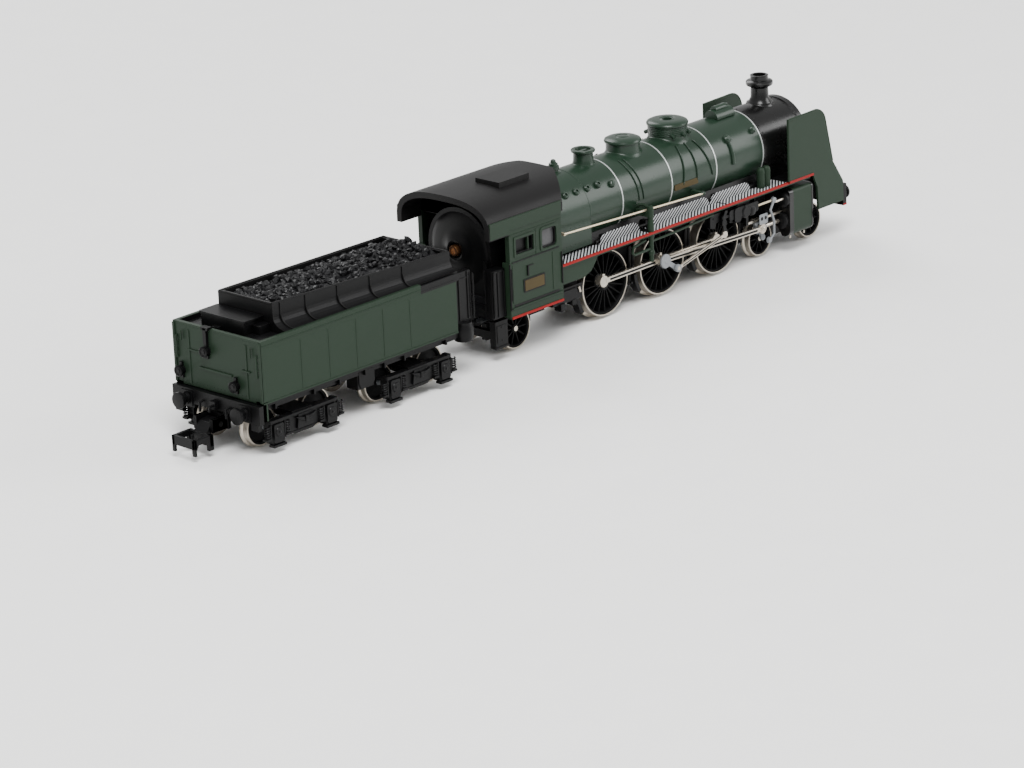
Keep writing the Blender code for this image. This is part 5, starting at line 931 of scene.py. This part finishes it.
piece = Piece()
for piece.side in BOTH:
    y = 6.04
    head = [(44.1, 0), (44.1, 0.7), (44.0, 1.12), (43.85, 1.17), (43.6, 1.15), (43.5, 0.6), (42.4, 0.55),
        (42.35, 0.8), (41.7, 0.95), (41.5, 0.95), (41.5, 0)]
    piece.add(PLASTIC, turned("X", (y, 6.14), head, 28), block((41.55, 41.75), (y - 1.1, y + 1.1),
        (5.1, 7.2)))
    piece.add(RED, block((40.75, 41.62), (6.9, 8.42), (4.88, 5.2)))
    lamp = [(40.2, 0), (40.2, 0.55), (41.3, 0.62), (41.45, 0.5), (41.45, 0)]
    piece.add(PLASTIC, turned("X", (5.2, 9.6), lamp, 20), block((40.4, 41.0), (5.2 - 0.2, 5.2 + 0.2),
        (8.3, 9.3)))
    piece.add(GLASS, bar("X", (5.2, 9.6), 0.42, (41.4, 41.5), 20))
    piece.add(PLASTIC, tube([(41.8, 2.4, 5.6), (42.6, 2.4, 5.2), (42.5, 2.4, 3.4)], 0.2, 8))
piece.add(PLASTIC, block((40.7, 41.6), (-8.4, 8.4), (4.9, 8.4)), block((37.4, 39.6), (-8.1, 8.1),
    (11.05, 11.5)), block((39.0, 41.6), (-4.0, 4.0), (5.9, 10.6)),
    block((41.4, 42.6), (-0.5, 0.5), (5.6, 6.6)), tube([(42.6, 0, 6.1), (43.3, 0, 5.9), (43.4, 0, 5.2),
    (42.9, 0, 4.8)], 0.22, 8))
for x in (37.95, 39.05):
    piece.add(TREAD, block((x - 0.5, x + 0.5), (-7.6, 7.6), (11.45, 11.54)))
piece.make("beam_front", "loco", ["buffer_beam_front"], 0.03)

piece = Piece()
for piece.side in BOTH:
    # Sand pipes, brake hangers with their blocks, and frame ribs between the driven wheels
    for x in (-SPACING / 2, SPACING / 2, SPACING + 6.2, -SPACING - 5.9):
        piece.add(PLASTIC, rod((x, 5.0, 9.6), (x - 0.4, 5.0, 3.6), 0.28, 10),
            rod((x - 0.3, 3.3, 3.9), (x - 0.3, 5.6, 3.9), 0.2, 8))
    for x in (-SPACING, 0, SPACING):
        shoe = arc((x, AXLE_Z), 6.35, 185, 215, 6) + arc((x, AXLE_Z), 5.72, 215, 185, 6)
        piece.add(PLASTIC, prism("Y", shoe, (4.3, 5.6)), rod((x - 6.0, 4.9, 3.4), (x - 5.7, 4.9, 8.9),
            0.26, 8))
    for x in (-9.5, -3.5, 3.5, 9.5):
        piece.add(CAST, block((x - 0.4, x + 0.4), (3.25, 3.6), (4.6, 11.2)))
    piece.add(PLASTIC, block((-25.0, -19.4), (3.3, 4.4), (5.6, 8.6)))
piece.make("brake_rigging", "loco", (), 0.03)

piece = Piece()
for piece.side in BOTH:
    for x in (24.0, 36.2):
        piece.add(PLASTIC, prism("Y", [(x - 1.3, 2.2), (x + 1.3, 2.2), (x + 1.0, 4.6), (x - 1.0, 4.6)],
            (3.25, 3.6)))
    for i in range(9):
        piece.add(PLASTIC, ball((26.2 + i, 3.32, 3.9), 0.12, rows=3, facets=6))
    piece.add(PLASTIC, prism("Y", arc((30.1, 8.6), 5.0, 232, 308, 10)
        + arc((30.1, 8.6), 4.6, 308, 232, 10), (3.3, 3.62)))
piece.make("bogie_front_detail", "front_bogie", (), 0.03)


def spring(x, z, y, reach, leaves=5):
    """A leaf spring over an axlebox, arched, with its buckle."""
    shapes = []
    for leaf in range(leaves):
        half = reach * (1 - 0.16 * leaf)
        points = [(x + half * (2 * i / 8 - 1), z - leaf * 0.15 + 0.35 * (2 * i / 8 - 1) ** 2)
            for i in range(9)]
        outline = points + [(px, pz - 0.12) for px, pz in reversed(points)]
        shapes.append(prism("Y", outline, (y, y + 0.5)))
    shapes.append(block((x - 0.25, x + 0.25), (y - 0.05, y + 0.6), (z - leaves * 0.15 - 0.1, z + 0.15)))
    return shapes


piece = Piece()
for piece.side in BOTH:
    piece.add(PLASTIC, block((-38.5, -35.7), (5.9, 7.05), (2.1, 2.4)),
        block((-38.5, -35.7), (5.9, 7.0), (6.1, 6.32)), block((-38.1, -36.1), (6.8, 6.98), (3.0, 5.6)))
    for z in (3.3, 5.3):
        piece.add(PLASTIC, ball((-37.1, 6.98, z), 0.16, flat=0.6, axis="Y"))
    piece.add(PLASTIC, *spring(-32.2, 6.1, 3.32, 2.4, 3))
piece.make("truck_detail", "trailing_truck", (), 0.03)

# Injector, ash pan and pipes below the cab and firebox
piece = Piece()
for piece.side in BOTH:
    piece.add(PLASTIC, block((-26.0, -19.6), (5.9, 7.0), (5.3, 7.6)),
        block((-25.2, -21.0), (6.9, 7.25), (5.7, 7.2)), block((-24.6, -23.6), (5.9, 7.3), (4.3, 5.4)),
        block((-21.9, -20.9), (5.9, 7.1), (4.6, 5.4)))
    piece.add(STEEL, rod((-20.4, 7.1, 7.2), (-20.1, 7.1, 6.3), 0.2))
    piece.add(PLASTIC, tube([(-36.0, 7.8, 6.9), (-31.0, 7.8, 6.4), (-26.0, 7.5, 6.6)], 0.24, 8))
    for x in (-35.5, -33.6, -30.8, -28.6):
        piece.add(PLASTIC, block((x - 0.35, x + 0.35), (7.2, 8.0), (6.4, 7.0)))
    piece.add(PLASTIC, block((-26.2, -19.5), (4.4, 6.0), (6.4, 8.8)))
piece.make("ashpan", "loco", (), 0.04)

# ---- Tender ------------------------------------------------------------------------------

HALF = 8.7  # half the width of the tender body
piece = Piece()
for piece.side in BOTH:
    for x in (-57.6, -63.0, -68.4, -73.8, -79.2):
        piece.add(GREEN, block((x - 0.04, x + 0.04), (HALF, HALF + 0.035), (8.1, 15.2)))
    for i in range(61):
        for z in (8.1, 15.35):
            piece.add(GREEN, rivet((-48.6 - 0.62 * i, HALF, z), 0.075))
    for x in (-57.6, -63.0, -68.4, -73.8, -79.2, -86.2):
        for dx2 in (-0.25, 0.25):
            for i in range(11):
                piece.add(GREEN, rivet((x + dx2, HALF, 8.7 + 0.62 * i), 0.06))
    piece.add(GREEN, block((-86.8, -55.2), (HALF, HALF + 0.06), (15.9, 16.03)),
        block((-86.8, -48.0), (HALF - 0.1, HALF + 0.07), (7.7, 7.9)))
    for i in range(48):
        piece.add(GREEN, rivet((-55.9 - 0.64 * i, HALF, 16.4), 0.06))
    piece.add(GREEN, prism("Y", [(-86.8, 8.0), (-86.8, 5.2), (-86.0, 5.2), (-86.0, 8.0)], (7.3, 8.7)))
    # Rear corner strips and lamp brackets
    piece.add(GREEN, block((-87.0, -86.7), (8.3, 8.7), (7.9, 16.5)),
        rod((-87.05, 8.0, 14.6), (-87.05, 8.0, 11.6), 0.13), rod((-87.1, 6.9, 15.6), (-87.1, 6.9, 14.2),
        0.13))
    for z in (14.6, 13.6, 12.6, 11.6):
        piece.add(GREEN, ball((-86.95, 8.0, z), 0.2, facets=8))
for i in range(22):
    piece.add(GREEN, rivet((-86.82, -7.35 + 0.7 * i, 8.3), 0.07, "X"),
        rivet((-86.82, -7.35 + 0.7 * i, 16.35), 0.07, "X"))
for y, z in ((7.3, 9.7), (1.9, 13.5), (-3.6, 9.5)):
    lamp = [(-86.75, 0), (-86.75, 0.62), (-87.35, 0.66), (-87.5, 0.8), (-87.75, 0.8), (-87.85, 0.62),
        (-87.7, 0.48), (-87.65, 0)]
    piece.add(PLASTIC, turned("X", (y, z), lamp, 24), bar("X", (y, z), 0.3, (-87.65, -87.75), 16),
        block((-87.2, -86.75), (y - 0.25, y + 0.25), (z + 0.5, z + 1.25)),
        block((-87.1, -86.75), (y - 0.3, y + 0.3), (z - 1.1, z - 0.5)))
piece.add(PLASTIC, block((-87.3, -86.7), (1.6, 2.2), (14.6, 16.9)),
    block((-87.3, -86.4), (1.2, 2.6), (16.6, 17.0)))
piece.add(GREEN, block((-87.0, -86.75), (-2.8, 3.6), (10.6, 10.9)),
    block((-87.0, -86.75), (-6.5, -4.8), (11.9, 12.1)), block((-86.95, -86.75), (2.9, 6.0), (12.9, 13.1)))
for y0, y1, z0, z1 in ((-5.9, -5.5, 8.0, 15.8), (5.5, 5.9, 8.0, 15.8)):
    piece.add(GREEN, block((-86.9, -86.75), (y0, y1), (z0, z1)))
piece.make("tender_rivets", "tender", (), 0.0)

# Bunker ribs, rim, toolbox and front lip


def bunker_side(x):
    """Half width and top of the bunker at a station."""
    share = (x + 81.0) / 34.0
    return 5.4 + 1.3 * share, 20.1 - 0.9 * share


piece = Piece()
for piece.side in BOTH:
    for x in (-79.6, -74.9, -68.9, -62.7, -56.4):
        half, top = bunker_side(x)
        curve = []
        for i in range(7):
            across, up = 1 - math.sin(math.pi * i / 12), 1 - math.cos(math.pi * i / 12)
            curve.append((half + 0.14 + (8.0 - half) * across, 16.6 + 1.6 * up))
        outline = [(half - 0.2, 16.2), (8.05, 16.2), *curve, (half + 0.14, top - 0.05),
            (half - 0.2, top - 0.05)]
        piece.add(BLACK, prism("X", outline, (x - 0.1, x + 0.1)))
        piece.add(ROOF, tube([(x, y + 0.02, z + 0.02) for y, z in curve], 0.11, 6))
    rear_half, rear_top = bunker_side(-81.0)
    front_half, front_top = bunker_side(-47.0)
    piece.add(ROOF, tube([(-80.95, (rear_half - 0.25), rear_top), (-47.05, (front_half - 0.25),
        front_top)], 0.17, 8))
    piece.add(BLACK, block((-55.2, -48.0), (7.0, 8.72), (15.35, 15.68)),
        block((-55.3, -47.3), (8.35, 8.66), (15.5, 16.5)))
    piece.add(PLASTIC, block((-48.0, -43.9), (7.36, 7.5), (14.8, 15.0)))
    for x in (-47.4, -46.2, -44.4):
        piece.add(PLASTIC, block((x - 0.12, x + 0.12), (7.36, 7.55), (8.7, 15.8)))
    for y in (6.75, 7.25):
        piece.add(PLASTIC, block((-43.85, -43.68), (y - 0.12, y + 0.12), (8.7, 15.8)))
    piece.add(PLASTIC, rod((-43.6, 7.75, 8.6), (-43.6, 7.75, 15.4), 0.14))
    cup = knob("Z", (-45.3, 7.1), [(5.6, 1.35), (6.1, 1.5), (7.6, 1.5), (8.0, 1.3), (8.4, 1.3)], 28)
    piece.add(PLASTIC, cup)
piece.add(ROOF, rod((-80.95, -5.2, 20.1), (-80.95, 5.2, 20.1), 0.17),
    rod((-47.1, -6.5, 19.2), (-47.1, 6.5, 19.2), 0.17))
piece.add(BLACK, block((-86.2, -81.0), (-8.1, 8.1), (15.98, 16.06)),
    block((-86.22, -86.14), (-8.1, 8.1), (15.98, 16.7)), block((-86.2, -55.2), (8.04, 8.14),
    (15.98, 16.7)), block((-86.2, -55.2), (-8.14, -8.04), (15.98, 16.7)))
piece.add(PLASTIC, prism("Z", rounded((-84.6, -81.0), (-3.4, 5.4), 0.3), (16.0, 18.0)),
    prism("Z", rounded((-84.75, -81.0), (-3.6, 5.6), 0.3), (17.9, 18.15)),
    prism("Z", rounded((-83.2, -81.0), (-4.9, -3.4), 0.2), (16.0, 17.3)),
    bar("Z", (-84.7, 1.9), 0.7, (15.9, 16.6), 20))
piece.make("bunker_detail", "tender", (), 0.03)

# Coal: a heap of broken lumps inside the bunker
rng = random.Random(29)


def lump(centre, size):
    """A broken, angular stone."""
    bm = bmesh.new()
    bmesh.ops.create_icosphere(bm, subdivisions=1, radius=1.0)
    stretch = [rng.uniform(0.7, 1.3) for _ in range(3)]
    turn = Matrix.Rotation(rng.uniform(0, 6.3), 3, Vector([rng.uniform(-1, 1)
        for _ in range(3)]).normalized())
    points = []
    for vertex in bm.verts:
        jitter = rng.uniform(0.72, 1.2)
        local = turn @ Vector([vertex.co[i] * stretch[i] * jitter * size for i in range(3)])
        points.append(tuple(Vector(centre) + local))
    faces = [tuple(v.index for v in face.verts) for face in bm.faces]
    bm.free()
    return points, faces


piece = Piece()
sections = []
for i in range(35):
    x = -80.3 + 32.6 * i / 34
    half, top = bunker_side(x)
    half -= 0.65
    crown = 1.3 * i / 34
    outline = [(-half, 17.4), (half, 17.4)]
    outline += [(half * (1 - j / 8), top - 0.85 + crown * (1 - (1 - j / 8) ** 2) + rng.uniform(-0.2, 0.2))
        for j in range(17)]
    sections.append((x, outline))
piece.add(COAL, loft("X", sections))
LUMPS = 760
for _ in range(LUMPS):
    x = rng.uniform(-80.0, -48.0)
    half, top = bunker_side(x)
    size = rng.uniform(0.28, 0.62)
    half -= 0.65 + size * 0.9
    share = rng.uniform(-1, 1)
    crown = 1.3 * (x + 80.3) / 32.6
    z = top - 0.85 + crown * (1 - share**2) + rng.uniform(-0.12, 0.3)
    piece.add(COAL, lump((x, half * share, z), size))
piece.make("coal_heap", "tender", ["coal_load"], 0.0, sharp=1)

# Tender underframe: water scoop box, steps, rear beam and buffers
piece = Piece()
for piece.side in BOTH:
    piece.add(PLASTIC, block((-85.6, -49.2), (7.4, 8.35), (7.2, 7.72)),
        block((-85.6, -49.2), (7.2, 7.5), (6.3, 7.4)))
    for x in (-50.0, -58.5, -62.5, -66.4, -71.5, -76.5, -84.0):
        piece.add(PLASTIC, block((x - 0.15, x + 0.15), (6.9, 8.2), (6.3, 7.4)))
    box_outline = [(-67.4, 6.9), (-67.4, 5.0), (-66.9, 4.3), (-64.7, 4.3), (-64.3, 5.0), (-64.3, 6.9)]
    piece.add(PLASTIC, prism("Y", box_outline, (5.2, 7.75)))
    y = 5.8
    head = [(-89.56, 0), (-89.56, 0.85), (-89.5, 1.17), (-89.3, 1.22), (-89.02, 1.2), (-88.9, 0.6),
        (-88.3, 0.58), (-88.25, 0.85), (-87.6, 0.95), (-87.5, 0.95), (-87.5, 0)]
    piece.add(PLASTIC, turned("X", (y, 6.14), head, 28), prism("X",
        rounded((y - 1.15, y + 1.15), (5.0, 7.3), 0.2), (-87.85, -87.6)),
        tube([(-87.6, 2.6, 6.4), (-88.3, 2.6, 6.2), (-88.35, 2.6, 4.9)], 0.2, 8),
        block((-87.7, -87.0), (6.9, 8.3), (3.9, 4.9)))
piece.add(PLASTIC, block((-88.4, -87.6), (-0.55, 0.55), (5.7, 6.9)),
    tube([(-88.3, 0, 6.3), (-88.9, 0, 6.2), (-89.0, 0, 5.5)], 0.2, 8))
piece.make("tender_underframe", "tender", (), 0.03)

for word, numbers in (("front", (1, 2)), ("rear", (3, 4))):
    centre = BOGIE_CENTRES[word]
    piece = Piece()
    for piece.side in BOTH:
        top_chord = [(centre - 6.5, 4.3), (centre - 6.5, 4.75), (centre + 6.5, 4.75), (centre + 6.5, 4.3)]
        piece.add(PLASTIC, prism("Y", top_chord, (7.1, 8.3)), prism("Y",
            [(centre - 2.6, 2.1), (centre + 2.6, 2.1), (centre + 1.7, 1.7), (centre - 1.7, 1.7)],
            (7.3, 8.1)), prism("Y", [(centre - 1.5, 2.4), (centre + 1.5, 2.4), (centre + 1.2, 4.4),
            (centre - 1.2, 4.4)], (8.0, 8.45)))
        for number in numbers:
            x = TENDER_AXLES[number]
            piece.add(PLASTIC, prism("Y", rounded((x - 0.95, x + 0.95), (1.5, 4.2), 0.3), (7.9, 8.6)),
                knob("Y", (x, 3.1), [(8.55, 0.75), (8.75, 0.62)], 24),
                ball((x, 8.75, 3.1), 0.24, flat=0.5, axis="Y", facets=12),
                block((x - 1.2, x + 1.2), (7.6, 8.7), (0.95, 1.3)),
                rod((x - 0.85, 8.2, 1.2), (x - 0.85, 8.2, 2.4), 0.16),
                rod((x + 0.85, 8.2, 1.2), (x + 0.85, 8.2, 2.4), 0.16))
            for offset in (-1.9, 1.9):
                coil = []
                for i in range(41):
                    angle = 2 * math.pi * i / 8
                    coil.append((x + offset + 0.36 * math.cos(angle), 8.15 + 0.36 * piece.side * math.sin(angle),
                        2.4 + 1.7 * i / 40))
                piece.add(PLASTIC, tube(coil, 0.13, 5), block((x + offset - 0.45, x + offset + 0.45),
                    (7.6, 8.55), (2.1, 2.4)))
            for offset in (-1.35, 1.35):
                piece.add(PLASTIC, block((x + offset - 0.12, x + offset + 0.12), (7.9, 8.4), (1.9, 4.3)))
        for x in (centre - 6.3, centre + 6.3):
            piece.add(PLASTIC, block((x - 0.35, x + 0.35), (7.0, 8.2), (2.6, 4.8)),
                ball((x, 8.2, 3.9), 0.18, facets=8))
        piece.add(PLASTIC, *spring(centre, 3.9, 8.3, 1.9, 4))
    piece.make("bogie_detail_" + word, "tender_bogie_" + word, (), 0.03)

# Coupler: rounded pocket, hook head with its lip and the lifting pin
piece = Piece()
cheek = [(-94.2, 3.25), (-90.6, 3.25), (-90.6, 1.0), (-91.5, 1.0), (-91.5, 2.4), (-93.4, 2.4),
    (-93.8, 1.7), (-93.8, 0.9), (-94.2, 0.9)]
for span in ((-2.3, -1.75), (1.75, 2.3)):
    piece.add(PLASTIC, prism("Y", cheek, span))
piece.add(PLASTIC, block((-94.2, -93.75), (-2.3, 2.3), (1.9, 3.25)),
    block((-91.3, -90.7), (-2.3, 2.3), (1.6, 3.25)), rod((-92.4, 0, 3.2), (-92.4, 0, 0.35), 0.22, 10))
shank = [(-88.1, 4.65), (-89.9, 4.5), (-91.0, 3.1), (-91.0, 1.6), (-89.7, 3.4), (-88.1, 3.55)]
piece.add(PLASTIC, prism("Y", shank, (-1.25, 1.25)), bar("Y", (-88.7, 4.1), 0.35, (-1.88, 1.88), 16))
piece.make("coupler_detail", "coupler", ["coupler_hook"], 0.04)
piece = Piece()
piece.add(PLASTIC, block((-90.3, -87.2), (-1.9, -1.42), (3.2, 5.1)),
    block((-90.3, -87.2), (1.42, 1.9), (3.2, 5.1)), block((-87.6, -87.0), (-2.1, 2.1), (3.1, 5.2)))
piece.make("coupler_pocket", "tender_bogie_rear", (), 0.04)

# ---- Finishes of the CAD pieces that are shown as they are ---------------------------------

CARRIED = {
    GREEN: ("cab_shell", "tender_body"),
    BLACK: ("coal_bunker", "motor_case"),
    PLASTIC: ("cab_floor", "tender_frame", "tender_bogie_front", "tender_bogie_rear", "trailing_truck",
        "front_bogie",
              "drawbar", "keeper_plate", "idler_gear_front", "idler_gear_rear", "worm_wheel"),
    CAST: ("chassis_frame",),
    COPPER: ("motor_rotor",),
    BRASS: ("worm",),
    CARBON: ("brush_left", "brush_right"),
}
for look, names in CARRIED.items():
    for name in names:
        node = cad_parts[name]
        node.data.materials.clear()
        node.data.materials.append(look)
        node.data.shade_smooth()
        node.data.set_sharp_from_angle(angle=math.radians(35))

# ---- Floor, light and camera -----------------------------------------------------------------


def staged_plane(name, size, place, look):
    bm = bmesh.new()
    bmesh.ops.create_grid(bm, x_segments=1, y_segments=1, size=size / 2)
    mesh = bpy.data.meshes.new(name)
    bm.to_mesh(mesh)
    bm.free()
    mesh.materials.append(look)
    obj = bpy.data.objects.new(name, mesh)
    obj.location = place
    bpy.context.scene.collection.objects.link(obj)
    return obj


FLOOR = finish_of("pale_floor", (0.88, 0.88, 0.87), 0.55, mottle=0.01)
staged_plane("floor", 6.0, (0.0, 0.0, -0.00002), FLOOR)


def area_light(name, place, target, size, power, colour=(1, 1, 1)):
    lamp = bpy.data.lights.new(name, "AREA")
    lamp.shape = "DISK"
    lamp.size = size
    lamp.energy = power
    lamp.color = colour
    obj = bpy.data.objects.new(name, lamp)
    obj.location = place
    aim = Vector(target) - Vector(place)
    obj.rotation_euler = aim.to_track_quat("-Z", "Y").to_euler()
    bpy.context.scene.collection.objects.link(obj)
    return obj


area_light("key", (-0.30, -0.35, 0.75), (0, 0, 0.01), 0.45, 10.5)
area_light("fill", (0.65, -0.55, 0.35), (0, 0, 0.01), 0.5, 4.5)
area_light("back", (0.15, 0.60, 0.50), (0, 0, 0.01), 0.5, 4.0)
world = bpy.data.worlds.new("studio")
world.use_nodes = True
world.node_tree.nodes["Background"].inputs["Color"].default_value = (1.0, 1.0, 1.0, 1.0)
world.node_tree.nodes["Background"].inputs["Strength"].default_value = 0.85
bpy.context.scene.world = world

AZIMUTH, ELEVATION, ROLL = math.radians(-46.53), math.radians(18.89), math.radians(-2.47)
DISTANCE = 0.61014
TARGET = Vector(((-37.48 + AXLE_X) * MM, -8.85 * MM, -2.97 * MM))
back = Vector((math.sin(AZIMUTH) * math.cos(ELEVATION), -math.cos(AZIMUTH) * math.cos(ELEVATION),
    math.sin(ELEVATION)))
right = Vector((math.cos(AZIMUTH), math.sin(AZIMUTH), 0))
up = back.cross(right)
camera_right = right * math.cos(ROLL) + up * math.sin(ROLL)
camera_up = up * math.cos(ROLL) - right * math.sin(ROLL)
place = TARGET + back * DISTANCE
lens = bpy.data.cameras.new("camera")
lens.sensor_width = 36.0
lens.lens = 147.3
lens.clip_start = 0.01
camera = bpy.data.objects.new("camera", lens)
camera.matrix_world = Matrix.Translation(place) @ Matrix((camera_right, camera_up, back)).transposed(
    ).to_4x4()
bpy.context.scene.collection.objects.link(camera)
bpy.context.scene.camera = camera
